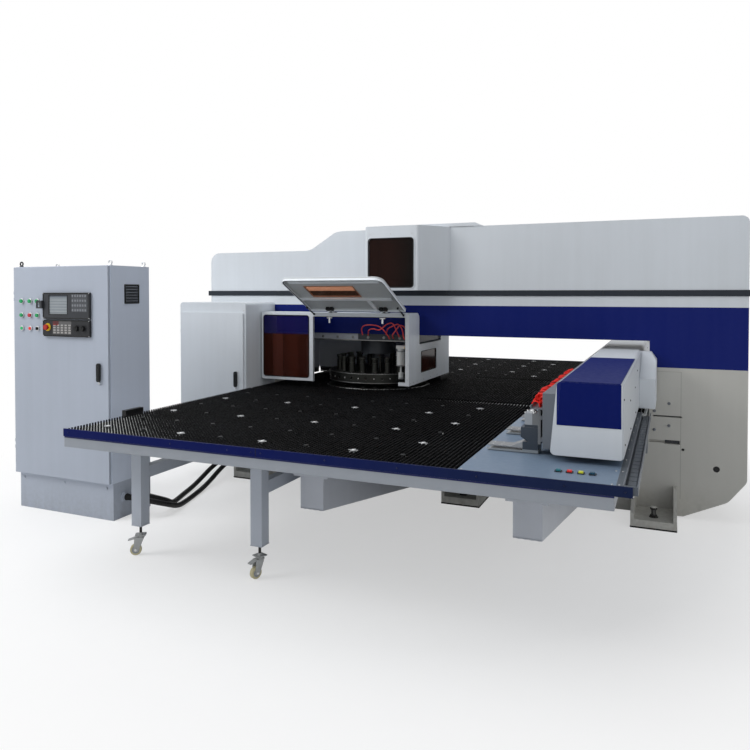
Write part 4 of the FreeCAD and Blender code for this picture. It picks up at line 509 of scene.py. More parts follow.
def cover_zones(f):
    """White cover, its right face darkened as painted shade, with a navy panel over its front and
    front top.
    """
    c = colours()
    front = f.zone(x=(1372, 1689), y=(-2640, -2612), z=(1100, 1330))
    top = f.zone(x=(1391, 1685), y=(-2640, -1160), z=(1318, 1340))
    navy = f.step(front + top, 0.5, 0.1)
    lap = f.zone(x=(1300, 1760), y=(-1158, -1152), z=(1200, 1340))
    # Painted shade: the cover's right face is darkened.
    painted_shade_right_face = f.between(f.x, DATUM + 1.694, DATUM + 1.7075)
    white = f.mix(painted_shade_right_face, c.white, shaded(c.white, 0.78))
    return f.mix(lap * 0.4, f.mix(navy, white, c.navy), srgb(70, 74, 80))


def clamp_zones(f):
    """Pale carriage plate and cylinder boxes, dark clamp bodies, and bright lower jaws."""
    body = f.zone(x=(1100, 1256), z=(925, 1062))
    jaw = f.zone(x=(900, 1256), z=(900, 925))
    plate = f.zone(x=(1221, 1300), z=(900, 1400))
    shade = f.mix(plate, srgb(176, 181, 186), srgb(132, 134, 136))
    return f.mix(jaw, f.mix(body, shade, srgb(66, 74, 84)), srgb(150, 156, 160))


def rail_zones(f):
    """Grey beams with a bright ground rail on top."""
    return f.mix(f.step(f.z, 0.7205), srgb(120, 124, 128), srgb(190, 194, 198))


def display_zones(f):
    """Dark display housing, a pale screen in its recess, and grey keys."""
    screen = f.zone(x=(-2691, -2491), z=(1613, 1767))
    rows = f.node("ShaderNodeTexWave", {"wave_type": "BANDS", "bands_direction": "Z"},
                  {"Vector": f.place, "Scale": 14.0, "Distortion": 0.0})
    glow = f.mix(f.step(rows, 0.55, 0.1) * 0.35, srgb(150, 156, 160), srgb(92, 100, 108))
    title = f.zone(x=(-2691, -2491), z=(1748, 1767))
    glow = f.mix(title * 0.6, glow, srgb(70, 80, 96))
    keys = f.zone(y=(-2210, -2203.4), x=(-2445, -2285), z=(1635, 1775))
    body = f.mix(keys, srgb(56, 58, 62), srgb(128, 131, 136))
    return f.mix(screen, body, glow)


def panel_zones(f):
    """Dark operator panel, the stop's yellow ring, and keys in red and pale rows."""
    keys = f.zone(y=(-2210, -2203.4), x=(-2650, -2450), z=(1455, 1560))
    red = f.zone(x=(-2650, -2585), z=(1527, 1560))
    ring = f.disc(-2703, 1510, 33) * f.zone(y=(-2212, -2203.2))
    shade = f.mix(keys, srgb(44, 45, 48), f.mix(red, srgb(168, 166, 164), srgb(160, 48, 44)))
    return f.mix(ring, shade, srgb(226, 186, 40))


def lamp_zones(f):
    """Steel bezels with green lenses, and one red lens in the middle of the second row."""
    red = f.zone(x=(-2945, -2885), z=(1575, 1630))
    caps = f.mix(red, srgb(28, 158, 92), srgb(186, 46, 60))
    return f.mix(f.step(f.y, -2.1932), caps, srgb(150, 152, 150))


# Each finish: what makes it, its colour, colour setting or zones, and the maker's other settings
FINISHES = {
    # painted: dirt, shine, roughness, width of the pale edges (wear and painted highlight)
    "frame_paint": (painted, frame_zones, 0.3, 0.08),
    "white_paint": (painted, "white"),
    "guard_paint": (painted, guard_painted_light_zones, 0.15),
    "lid_paint": (painted, lid_painted_light_zones, 0.15),
    "carrier_paint": (painted, carrier_painted_shade_zones, 0.4),
    "cabinet_paint": (painted, "cabinet", 0.3, 0.22, 0.42),
    # Painted light: the cabinet body is made lighter than its door and plinth.
    "cabinet_side_paint": (painted, lambda f: shaded(colours().cabinet, 1.5)),
    "foot_paint": (painted, foot_zones, 0.4),
    "arm_paint": (painted, srgb(184, 188, 196)),
    "table_frame_paint": (painted, table_frame_zones, 0.4),
    "leg_paint": (painted, srgb(172, 178, 188), 0.4),
    "navy_paint": (painted, lambda f: shaded(colours().navy, 0.85), 0.3, 0.03, 0.4, 0.002),
    "fascia_paint": (painted, fascia_painted_shade_zones, 0.3, 0.05),
    "stripe_paint": (painted, "stripe", 0.3, 0.12),
    "deck_paint": (painted, "deck", 0.5, 0.2, 0.34),
    "channel_paint": (painted, channel_zones, 0.5, 0.22, 0.34),
    "grey_paint": (painted, srgb(112, 117, 124), 0.5),
    "dark_paint": (painted, srgb(58, 60, 64), 0.4, 0.22, 0.45),
    "black_paint": (painted, srgb(24, 24, 26)),
    "cover_paint": (painted, cover_zones, 0.3, 0.12),
    "clamp_paint": (painted, clamp_zones, 0.3, 0.22, 0.32, 0.002),
    "rail_paint": (painted, rail_zones),
    "castor": (painted, castor_zones, 0.3, 0.22, 0.3),
    # steel: roughness, stains, grain
    "steel": (steel, (0.52, 0.52, 0.53)),
    "jaw_steel": (steel, (0.34, 0.35, 0.36), 0.42, 0.3),
    "ground_steel": (steel, (0.62, 0.62, 0.63), 0.22, 0.2, (1.0, 0.06, 1.0)),
    "zinc": (steel, (0.6, 0.61, 0.62), 0.34, 0.5),
    "oxide_steel": (steel, (0.036, 0.037, 0.034), 0.42, 0.6),
    "tool_steel": (steel, (0.07, 0.071, 0.07), 0.36, 0.5),
    "cup_steel": (steel, (0.4, 0.41, 0.42), 0.36, 0.5),
    "worn_steel": (steel, (0.2, 0.202, 0.2), 0.38, 0.4),
    "brass": (steel, (0.62, 0.42, 0.16), 0.26),
    # moulded: roughness, fineness and depth of the grain, shine
    # Painted light: the guard's air lines are a lighter red than the hoses, against the guard's
    # shade.
    "air_line": (moulded, srgb(255, 92, 96), 0.28, 40.0, 0.0001, 0.4),
    "black_plastic": (moulded, srgb(26, 27, 28), 0.4),
    "rubber": (moulded, srgb(18, 18, 19), 0.62, 90.0, 0.0002),
    "conduit": (moulded, srgb(22, 22, 23), 0.44, 60.0, 0.0002),
    "board": (moulded, srgb(204, 206, 205), 0.55, 50.0),
    "tyre": (moulded, srgb(196, 188, 152), 0.5, 120.0),
    "white_plastic": (moulded, srgb(214, 216, 214), 0.38),
    "grey_plastic": (moulded, srgb(150, 153, 156), 0.45),
    "hose": (moulded, "hose", 0.34, 40.0, 0.0001, 0.15),
    "display": (moulded, display_zones, 0.36),
    "panel": (moulded, panel_zones, 0.4),
    "lamps": (moulded, lamp_zones, 0.24, 160.0, 0.00012, 0.4),
    "bristles": (nylon, "bristle"),
    "amber": (tinted_acrylic, "amber"),
    "clear_amber": (clear_acrylic, (0.62, 0.25, 0.13)),
    # lens: strength of its painted glow
    "green_cap": (lens, srgb(24, 150, 90)),
    "red_cap": (lens, srgb(196, 40, 34)),
    "stop_cap": (lens, srgb(150, 34, 28), 0.05),
    "teal_cap": (lens, srgb(34, 108, 118), 0.1),
    "yellow_cap": (lens, srgb(196, 200, 60), 0.15),
    "blue_cap": (lens, srgb(26, 70, 92), 0.1),
}


def finish(name):
    """The finish of this name, made the first time that it is asked for."""
    make, *settings = FINISHES[name]
    return bpy.data.materials.get(name + "_finish") or make(name, *settings)


def dress(name, *nodes):
    """Gives CAD nodes their finish."""
    for node in nodes:
        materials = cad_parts[node].data.materials
        materials.clear()
        materials.append(finish(name))


# ------------------------------------------------------------------ shapes

def on_top(u, v, depth):
    return u, v, depth


def on_front(u, v, depth):
    return u, depth, v


def on_side(u, v, depth):
    return depth, u, v


def rounded(a0, a1, b0, b1, radius, steps=5):
    """Outline of a rectangle with rounded corners."""
    points = []
    for a, b, start in ((a1, b1, 0), (a0, b1, 90), (a0, b0, 180), (a1, b0, 270)):
        a += -radius if start in (0, 270) else radius
        b += -radius if start in (0, 90) else radius
        for i in range(steps + 1):
            angle = math.radians(start + 90.0 * i / steps)
            points.append((a + radius * math.cos(angle), b + radius * math.sin(angle)))
    return points


def shrunk(outline, inset):
    """An outline moved inwards by the same distance all round."""
    count = len(outline)
    area = sum(outline[i - 1][0] * outline[i][1] - outline[i][0] * outline[i - 1][1]
               for i in range(count))
    side = 1.0 if area > 0 else -1.0
    inner = []
    for i, point in enumerate(outline):
        here = Vector(point)
        before = (here - Vector(outline[i - 1])).normalized()
        after = (Vector(outline[(i + 1) % count]) - here).normalized()
        normal = Vector((-before.y - after.y, before.x + after.x))
        if normal.length < 1e-9:
            inner.append(tuple(here))
            continue
        normal.normalize()
        lean = max(normal.dot(Vector((-after.y, after.x))), 0.35)
        inner.append(tuple(here + normal * (side * inset / lean)))
    return inner


def smooth(points):
    """A smooth line through points."""
    steps = 8
    points = [Vector(point) for point in points]
    line = []
    for i in range(len(points) - 1):
        before = points[max(i - 1, 0)]
        start, end = points[i], points[i + 1]
        after = points[min(i + 2, len(points) - 1)]
        for k in range(steps):
            t = k / steps
            line.append(0.5 * (2 * start + (end - before) * t
                               + (2 * before - 5 * start + 4 * end - after) * t * t
                               + (3 * start - before - 3 * end + after) * t ** 3))
    return line + [points[-1]]


class Build:
    """Collects the faces of one piece, in machine millimetres."""

    def __init__(self):
        self.points = []
        self.faces = []
        self.paints = []

    def add(self, points, faces, paint=0):
        first = len(self.points)
        self.points += points
        self.faces += [[first + i for i in face] for face in faces]
        self.paints += [paint] * len(faces)

    def rings(self, rings, paint=0, closed=False):
        """Skin over rings of points; a ring of one point closes an end."""
        points = []
        starts = []
        for ring in rings:
            starts.append(len(points))
            points += ring
        faces = []
        pairs = list(zip(range(len(rings) - 1), range(1, len(rings))))
        if closed:
            pairs.append((len(rings) - 1, 0))
        for i, j in pairs:
            a, b = starts[i], starts[j]
            n, m = len(rings[i]), len(rings[j])
            for k in range(max(n, m)):
                after = (k + 1) % max(n, m)
                if n == 1:
                    faces.append([a, b + k, b + after])
                elif m == 1:
                    faces.append([a + after, a + k, b])
                else:
                    faces.append([a + after, a + k, b + k, b + after])
        if not closed:
            for ring, start, turn in ((rings[0], starts[0], 1), (rings[-1], starts[-1], -1)):
                if len(ring) > 2:
                    faces.append([start + k for k in range(len(ring))][::turn])
        self.add(points, faces, paint)

    def slab(self, outline, lay, a, b, rim=1.0, paint=0):
        """Plate of an outline between two depths, with a chamfered rim."""
        low, high = min(a, b), max(a, b)
        inner = shrunk(outline, rim)
        levels = ((inner, low), (outline, low + rim), (outline, high - rim), (inner, high))
        self.rings([[lay(u, v, depth) for u, v in ring] for ring, depth in levels], paint)

    def box(self, x0, x1, y0, y1, z0, z1, rim=1.5, paint=0):
        self.slab(rounded(x0, x1, y0, y1, rim, 1), on_top, z0, z1, rim, paint)

    def ring_plate(self, outline, lay, a, b, width):
        """Flat frame: an outline with a smaller one cut out of it."""
        inner = shrunk(outline, width)
        low, high = min(a, b), max(a, b)
        levels = ((outline, low), (outline, high), (inner, high), (inner, low))
        self.rings([[lay(u, v, depth) for u, v in ring] for ring, depth in levels],
                   closed=True)

    def lathe(self, profile, centre, axis, sides=24, paint=0):
        """Turned piece: (radius, height) pairs along an axis from a centre."""
        axis = Vector(axis).normalized()
        across = axis.orthogonal().normalized()
        other = axis.cross(across)
        rings = []
        for radius, height in profile:
            middle = Vector(centre) + axis * height
            rings.append([tuple(middle + across * a + other * b) for a, b in circle(sides, radius)]
                         if radius else [tuple(middle)])
        self.rings(rings, paint)

    def tube(self, path, radius, sides=10, paint=0, closed=False):
        """Round tube along a path."""
        path = [Vector(point) for point in path]
        count = len(path)
        rings = []
        across = None
        for i, point in enumerate(path):
            if closed:
                along = path[(i + 1) % count] - path[i - 1]
            else:
                along = path[min(i + 1, count - 1)] - path[max(i - 1, 0)]
            along.normalize()
            if across is None:
                across = along.orthogonal().normalized()
            across = (across - along * across.dot(along)).normalized()
            other = along.cross(across)
            rings.append([tuple(point + across * a + other * b)
                          for a, b in circle(sides, radius)])
        self.rings(rings, paint, closed)

    def bead(self, outline, lay, depth, radius, sides=8, paint=0):
        """Round cord laid along a closed outline, such as a seal."""
        self.tube([lay(u, v, depth) for u, v in outline], radius, sides, paint, closed=True)

    def bolt(self, centre, axis, size=8.0, paint=0):
        """Hexagon bolt head on a washer; size is half the width across its corners."""
        self.lathe([(size * 1.35, 0), (size * 1.35, size * 0.18), (0, size * 0.18)], centre, axis,
                   20, paint)
        self.lathe([(size, size * 0.18), (size, size * 0.72), (size * 0.86, size * 0.9),
                    (0, size * 0.9)], centre, axis, 6, paint)

    def screw(self, centre, axis, size=6.0, paint=0):
        """Button head with a hexagon socket."""
        self.lathe([(size, 0), (size * 0.94, size * 0.3), (size * 0.7, size * 0.55),
                    (size * 0.42, size * 0.62), (size * 0.4, size * 0.3), (0, size * 0.28)],
                   centre, axis, 18, paint)

    def done(self, name, slot, *finishes, body="frame", angle=38.0):
        """Makes the piece, which rides on a body; angle is where its shading breaks."""
        mesh = bpy.data.meshes.new(name)
        mesh.from_pydata([at(*point) for point in self.points], [], self.faces)
        for material in finishes:
            mesh.materials.append(finish(material))
        mesh.polygons.foreach_set("material_index", self.paints)
        work = bmesh.new()
        work.from_mesh(mesh)
        bmesh.ops.recalc_face_normals(work, faces=work.faces)
        work.to_mesh(mesh)
        work.free()
        mesh.shade_smooth()
        mesh.set_sharp_from_angle(angle=math.radians(angle))
        piece = placed(name, mesh)
        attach(piece, body)
        return piece


def solids(node):
    """Low and high corners of each separate solid of a CAD node, in machine millimetres."""
    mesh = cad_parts[node].data
    parent = {}

    def root(key):
        while parent.setdefault(key, key) != key:
            parent[key] = parent[parent[key]]
            key = parent[key]
        return key

    keys = [tuple(round(value, 5) for value in vertex.co) for vertex in mesh.vertices]
    for polygon in mesh.polygons:
        first = root(keys[polygon.vertices[0]])
        for index in polygon.vertices[1:]:
            parent[root(keys[index])] = first
    groups = {}
    for key in set(keys):
        groups.setdefault(root(key), []).append(key)
    return sorted([[(pick(axis) - shift) * 1000 for axis, shift in zip(zip(*points), (DATUM, 0, 0))]
                   for pick in (min, max)] for points in groups.values())


# ------------------------------------------------------------------ pieces

class PRESS_OT_main_frame(bpy.types.Operator):
    """Paint the frame and add its bolts, plugs and lifting points"""
    bl_idname = "press.main_frame"
    bl_label = "Main frame"

    def execute(self, context):
        dress("frame_paint", "main_frame")
        dress("stripe_paint", "accent_stripe")
        bolts = Build()
        for out in (-1, 1):
            for x, z in ((1797, 840), (1904, 728), (1797, 690), (1904, 905)):
                bolts.bolt((x, out * 320, z), (0, out, 0), 9)
        for x, z, radius in ((2008, 545, 11), (2247, 413, 23.5)):
            bolts.lathe([(radius, -3), (radius * 0.86, -3), (radius * 0.8, -9),
                         (radius * 0.3, -9), (radius * 0.26, -14), (0, -14)],
                        (x, -320, z), FRONT, 22, 1)
        bolts.done("frame_bolts", "machined_steel", "grey_paint", "black_plastic")
        keys = Build()
        for x0, x1, z0, z1 in ((1876, 1981, 586, 610), (1792, 1993, 798, 806)):
            keys.box(x0, x1, -304, -298, z0, z1)
            for share in (0.12, 0.5, 0.88):
                keys.screw((x0 + share * (x1 - x0), -304, (z0 + z1) / 2), FRONT, 4)
        keys.done("frame_slot_plates", "dark_grey_paint", "dark_paint")
        caps = Build()
        for x, top in ((-2200, 2198), (-1500, 2198), (900, 2376), (2150, 2376)):
            for y in (-170, 170):
                caps.lathe([(34, 0), (34, 5), (30, 7), (16, 7), (14, 3), (0, 3)], (x, y, top), UP)
        caps.done("frame_lifting_caps", "black_plastic", "black_plastic")
        seams = Build()
        for y in (-330.5, 330.5):
            for x in (-1680, 60, 1400):
                seams.box(x - 0.9, x + 0.9, y - 1, y + 1, 1760, 1807, 0.4)
        seams.done("stripe_joints", "black_paint", "black_paint")
        return {"FINISHED"}


class PRESS_OT_feet(bpy.types.Operator):
    """Add pads, weld beads and levelling threads to the feet"""
    bl_idname = "press.feet"
    bl_label = "Feet"

    def execute(self, context):
        dress("foot_paint", "frame_feet")
        pads = Build()
        welds = Build()
        threads = Build()
        turns = [point for i in range(15)
                 for point in ((16.3, 85 + i * 2.7), (17.6, 86.3 + i * 2.7))]
        for x in FEET:
            for out in (-1, 1):
                pads.box(x - 166, x + 166, *span(out, 318, 703), 0, 12, 2)
                for edge in (x - 138.5, x + 138.5):
                    welds.tube([(edge, out * (322 + i * 9), 66 + 1.2 * math.sin(i * 2.1))
                                for i in range(42)], 4.0, 6)
                    welds.tube([(edge, out * 321, 68 + i * 9 + math.sin(i * 1.7))
                                for i in range(20)], 4.0, 6)
                bolt = (x, out * LEVEL_BOLT_Y, 0)
                threads.lathe(turns + [(16.3, 125)], bolt, UP, 20)
                threads.lathe([(34, 65.2), (34, 69), (28, 70), (0, 70)], bolt, UP, 28)
        pads.done("foot_pads", "black_rubber", "rubber")
        welds.done("foot_welds", "grey_paint", "foot_paint", angle=60)
        threads.done("levelling_threads", "machined_steel", "oxide_steel")
        return {"FINISHED"}


class PRESS_OT_hood(bpy.types.Operator):
    """Finish the ram hood and the ram, with the hood's seal, screws and the valve block behind its
    window
    """
    bl_idname = "press.hood"
    bl_label = "Ram hood"

    def execute(self, context):
        dress("white_paint", "ram_housing")
        dress("tool_steel", "ram_cylinder", "ram")
        seal = Build()
        seal.bead(rounded(-575, -149, 1835, 2267, 27), on_front, -626, 5.0)
        seal.done("hood_seal", "black_rubber", "rubber", angle=60)
        screws = Build()
        for z in (1880, 2051, 2222):
            screws.screw((-616, -480, z), LEFT)
        for x in (-560, -362, -164):
            screws.screw((x, -622, 2306), FRONT, 5)
        screws.done("hood_screws", "machined_steel", "zinc")
        valves = Build()
        valves.box(-450, -270, -520, -380, 1840, 2020, 6)
        valves.lathe([(48, 0), (48, 120), (40, 130), (40, 190), (30, 200), (0, 200)],
                     (-400, -450, 2020), UP, 28, 1)
        valves.lathe([(34, 0), (34, 90), (28, 98), (0, 98)], (-300, -450, 2020), UP, 24, 1)
        for z in (1870, 1930, 1990):
            for x in (-430, -290):
                valves.bolt((x, -520, z), FRONT, 8, 1)
        valves.done("valve_block", "dark_grey_paint", "dark_paint", "steel")
        seam = Build()
        for y in (-324.6, 320.6):
            seam.box(-600, 310, y - 0.8, y + 0.8, 2375, 2377, 0.4)
        seam.done("cap_seam", "black_paint", "black_paint")
        return {"FINISHED"}


def door_lock(door, x, pivot, plate, slot, face):
    """Key cylinder in a door's handle plate, and the grip and pivot screw on its lever."""
    key = Build()
    key.lathe([(9.5, 0), (9.5, 1.6), (8, 2.2), (0, 2.2)], (x, plate, pivot - 140), FRONT, 20)
    key.box(x - 1, x + 1, slot, slot + 1.4, pivot - 145, pivot - 135, 0.4, 1)
    key.done(door + "_key_cylinder", "machined_steel", "zinc", "black_plastic",
             body=door + "_door")
    grip = Build()
    near, far = face
    grip.slab(rounded(x - 11, x + 11, pivot - 118, pivot - 27, 10), on_front, far, near, 1.2)
    grip.screw((x, near - 0.2, pivot), FRONT, 7)
    grip.done(door + "_handle_grip", "black_plastic", "black_plastic", body=door + "_handle")


class PRESS_OT_side_enclosure(bpy.types.Operator):
    """Finish the enclosure on the left column, with its door, seal and handle"""
    bl_idname = "press.side_enclosure"
    bl_label = "Side enclosure"

    def execute(self, context):
        dress("white_paint", "side_enclosure", "side_enclosure_door")
        dress("black_plastic", "side_enclosure_handle")
        seal = Build()
        seal.bead(rounded(-2462, -1760, 328, 1596, 14), on_front, -832, 2.6, 6)
        seal.done("side_door_seal", "black_rubber", "rubber", angle=60)
        trim = Build()
        trim.slab(rounded(-1776, -1734, 340, 1690, 3, 2), on_front, -833, -830)
        for z in range(420, 1650, 240):
            trim.screw((-1755, -833, z), FRONT, 5, 1)
        trim.done("side_edge_strip", "white_paint", "white_paint", "zinc")
        door_lock("side", -1832, 1033, -855.5, -858.6, (-870.2, -872.6))
        return {"FINISHED"}


def brush_field(name, area, keep, seed):
    """Rows of tapered tufts over a board, wherever keep(x, y) allows one."""
    x0, x1, y0, y1 = area
    piece = Build()
    chance = random.Random(seed)
    pitch = sizes().tuft_pitch * 1000
    foot = sizes().tuft_width * 500
    tip = sizes().tuft_tip * 500
    columns = int((x1 - x0) / pitch)
    rows = int((y1 - y0) / pitch)
    start_x = (x0 + x1 - (columns - 1) * pitch) / 2
    start_y = (y0 + y1 - (rows - 1) * pitch) / 2
    ring = ((-1, 0), (0, -1), (1, 0), (0, 1))
    for i in range(columns):
        x = start_x + i * pitch
        for j in range(rows):
            y = start_y + j * pitch
            if not keep(x, y):
                continue
            lean_x, lean_y = chance.uniform(-1.0, 1.0), chance.uniform(-1.0, 1.0)
            top = TABLE_TOP - 0.2 - chance.uniform(0, 1.8)
            low = [(x + a * foot, y + b * foot, BOARD_TOP - 1) for a, b in ring]
            high = [(x + a * tip + lean_x, y + b * tip + lean_y, top) for a, b in ring]
            peak = [(x + lean_x, y + lean_y, min(top + 1.6, TABLE_TOP))]
            piece.add(low + high + peak,
                      [[0, 1, 5, 4], [1, 2, 6, 5], [2, 3, 7, 6], [3, 0, 4, 7],
                       [4, 5, 8], [5, 6, 8], [6, 7, 8], [7, 4, 8]])
    return piece.done(name, "brush", "bristles", angle=80)


def ball_seats():
    """Centre of each seat in the outer tables, and whether a ball sits in it or a plug."""
    places = [((low[0] + high[0]) / 2, (low[1] + high[1]) / 2)
              for low, high in solids("ball_transfers")]
    columns = sorted({round(x) for x, _ in places})
    rows = sorted({round(abs(y)) for _, y in places})
    seats = []
    for x, y in places:
        column, row = columns.index(round(x)), rows.index(round(abs(y)))
        last = column == len(columns) - 1
        seats.append((x, y, row % 2 == (0 if last else 1) and (last or column % 2 == 0)))
    return seats


class PRESS_OT_brush_tables(bpy.types.Operator):
    """Set rows of nylon tufts in the boards of the front, centre and rear tables"""
    bl_idname = "press.brush_tables"
    bl_label = "Brush tables"

    def execute(self, context):
        seats = [(x, y, 26 if filled else 19) for x, y, filled in ball_seats()]

        def clear(x, y):
            return all(abs(x - a) > room or abs(y - b) > room for a, b, room in seats)

        def centre(x, y):
            if math.hypot(x - TURRET_X, y) < 512 or abs(y) > 752 and x > 47:
                return False
            return abs(y) < 812

        boards = Build()
        for out in (-1, 1):
            y0, y1 = span(out, TABLE_END, 826)
            boards.box(-1704, 939, y0, y1, 865, BOARD_TOP, 2)
            for x in (-1150, -600, -50, 500):
                boards.box(x - 1, x + 1, y0 + 3, y1 - 3, BOARD_TOP - 1, BOARD_TOP + 0.8, 0.4)
        for side in (-1, 1):
            mouth = [(TURRET_X + a, side * b) for a, b in circle(48, 500)[:25]]
            edge = [(-1700, 0), (-1700, side * 824), (60, side * 824), (60, side * 764),
                    (1750, side * 764), (1750, 0)]
            boards.slab(mouth + edge, on_top, 865, BOARD_TOP)
        boards.done("brush_boards", "brush", "board")
        front = brush_field("front_bristles", (-1704, 939, -2960, -827), clear, 1)
        brush_field("rear_bristles", (-1704, 939, 827, 2960), clear, 2)
        brush_field("centre_bristles", (-1700, 1750, -822, 822), centre, 3)
        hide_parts("brush_tables")
        return {"FINISHED"}


class PRESS_OT_ball_units(bpy.types.Operator):
    """Add the transfer balls in their bright cups, and black plugs in the spare seats"""
    bl_idname = "press.ball_units"
    bl_label = "Transfer balls"

    def execute(self, context):
        cups = Build()
        balls = Build()
        plugs = Build()
        ball = [(12.2 * math.sin(math.radians(a)), 892.8 + 12.2 * math.cos(math.radians(a)))
                for a in range(90, 0, -15)] + [(0, TABLE_TOP)]
        for x, y, filled in ball_seats():
            if not filled:
                plugs.lathe([(15, 885), (15, 903), (13.4, 904.6), (6, 904.9), (5, 904), (0, 904)],
                            (x, y, 0), UP, 20)
                continue
            star = [(x + a * (17 + 15 * abs(a * a - b * b) ** 3),
                     y + b * (17 + 15 * abs(a * a - b * b) ** 3)) for a, b in circle(32, 1)]
            cups.slab(star, on_top, 899, 902.4, 0.8)
            cups.lathe([(15, 885), (15.5, 903), (14, 904.4), (12.4, 904), (12, 901)], (x, y, 0),
                       UP, 20)
            balls.lathe(ball, (x, y, 0), UP, 18)
        cups.done("ball_cups", "machined_steel", "cup_steel")
        plugs.done("ball_seat_plugs", "black_plastic", "black_plastic")
        balls = balls.done("transfer_balls", "machined_steel", "ground_steel", angle=60)
        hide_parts("ball_transfers")
        return {"FINISHED"}


class PRESS_OT_table(bpy.types.Operator):
    """Finish the deck plates, fascias, channels and table frames, with their screws"""
    bl_idname = "press.table"
    bl_label = "Deck and fascias"

    def execute(self, context):
        dress("deck_paint", "deck_plates")
        dress("channel_paint", "edge_channels")
        dress("fascia_paint", "table_fascias")
        dress("table_frame_paint", "table_frames")
        screws = Build()
        for out in (-1, 1):
            for y in range(870, 2960, 260):
                for x in (958, 1672, 1703):
                    screws.screw((x, out * y, TABLE_TOP), UP, 5, 1)
            for x in (-1660, -1250, -840, -430, -270, -205, 200, 620, 1040, 1460, 1730):
                screws.screw((x, out * 2970, 880), (0, out, 0), 5.5)
        screws.done("table_screws", "navy_paint", "fascia_paint", "cup_steel")
        bezels = Build()
        for i, (x, cap) in enumerate(DECK_BUTTONS, 1):
            bezels.ring_plate(rounded(x - 17.5, x + 17.5, -2827.5, -2792.5, 4, 3), on_top,
                              TABLE_TOP, 909.6, 5.6)
            dress(cap, "deck_button_%d" % i)
        bezels.done("deck_button_bezels", "black_plastic", "black_plastic")
        lips = Build()
        for out in (-1, 1):
            y0, y1 = span(out, 2950, 836)
            for x in (1718, 1779.5):
                lips.box(x, x + 6, y0, y1, 903, 906.5, 1.0)
            lips.slab(rounded(1731, 1774, y0 + 40, y1 - 20, 4, 2), on_top, 871, 883, 3.0, 1)
            for y in range(900, 2900, 85):
                lips.box(1733, 1772, out * y - 2, out * y + 2, 882.5, 885, 0.6, 1)
        lips.done("channel_lips", "silver_paint", "grey_paint", "channel_paint")
        clips = Build()
        for x in (-1690, -239, 1745):
            for out in (-1, 1):
                clips.box(x - 22, x + 22, *span(out, TABLE_END, 2957), 858, 864, 1)
        clips.done("fascia_clips", "machined_steel", "zinc")
        return {"FINISHED"}


class PRESS_OT_legs(bpy.types.Operator):
    """Finish the castored legs: flange bolts, feet, forks, wheels and hubs"""
    bl_idname = "press.legs"
    bl_label = "Castored legs"

    def execute(self, context):
        dress("leg_paint", "castor_legs")
        bolts = Build()
        plates = Build()
        for x in LEGS:
            for out in (-1, 1):
                for dx in (-52, 52):
                    for dz in (-52, 52):
                        bolts.bolt((x + dx, out * 332, 560 + dz), (0, out, 0))
                y = out * 2605
                for reach, low in ((44, 205), (46, 779)):
                    plates.box(x - reach, x + reach, y - reach, y + reach, low, low + 6, 2)
                for z in (526, 594):
                    plates.tube([(x - 30 + i * 5, out * 2563.5, z + math.sin(i))
                                 for i in range(13)], 3, 6)
        bolts.done("brace_bolts", "machined_steel", "zinc")
        plates.done("leg_plates", "grey_paint", "leg_paint", angle=50)
        for i, turn in enumerate(map(math.radians, CASTOR_TURNS), 1):
            dress("castor", "castor_fork_%d" % i)
            dress("tyre", "castor_wheel_%d" % i)
            low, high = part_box("castor_wheel_%d" % i)
            middle = (low + high) / 2
            spot = ((middle.x - DATUM) * 1000, middle.y * 1000, middle.z * 1000)
            axle = Vector((-math.sin(turn), math.cos(turn), 0))
            hub = Build()
            nuts = Build()
            for way in (-axle, axle):
                hub.lathe([(26, 13.6), (24, 14.8), (18, 14.2), (11, 14.6), (8.2, 15.4),
                           (6.4, 15.4)], spot, way)
                nuts.lathe([(9, 20.2), (9, 25), (7.6, 26.4), (0, 26.4)], spot, way, 6)
            hub.done("castor_hub_%d" % i, "grey_paint", "grey_plastic", body="wheel_%d" % i)
            nuts.done("axle_nuts_%d" % i, "machined_steel", "zinc", body="castor_%d" % i)
        return {"FINISHED"}


class PRESS_OT_arms(bpy.types.Operator):
    """Finish the support arms and rail beams, with their bolts and welds"""
    bl_idname = "press.arms"
    bl_label = "Support arms"

    def execute(self, context):
        dress("arm_paint", "support_arms")
        dress("rail_paint", "rail_beams")
        bolts = Build()
        welds = Build()
        for x in ARMS:
            for out in (-1, 1):
                for dx in (-98, 98):
                    for y in (2396, 2270, 2140):
                        bolts.bolt((x + dx, out * y, 640), UP, 10)
                for side in (-1, 1):
                    edge = x + side * 82.5
                    welds.tube([(edge, out * 322, 70 + i * 12 + math.sin(i * 1.9))
                                for i in range(45)], 5, 6)
                    welds.tube([(edge - side * 12, out * (2376 - i * 12), 611) for i in range(20)],
                               3.5, 6)
                welds.tube([(x - 78 + i * 6, out * 2401, 402 + math.sin(i)) for i in range(27)],
                           3.5, 6)
        for out in (-1, 1):
            for x in range(120, 1740, 120):
                bolts.screw((x, out * 795, 745), UP)
            for x in range(-220, 1760, 220):
                bolts.bolt((x, out * 870, 665), (0, out, 0))
        bolts.done("arm_bolts", "machined_steel", "zinc")
        welds.done("arm_welds", "grey_paint", "arm_paint", angle=60)
        return {"FINISHED"}


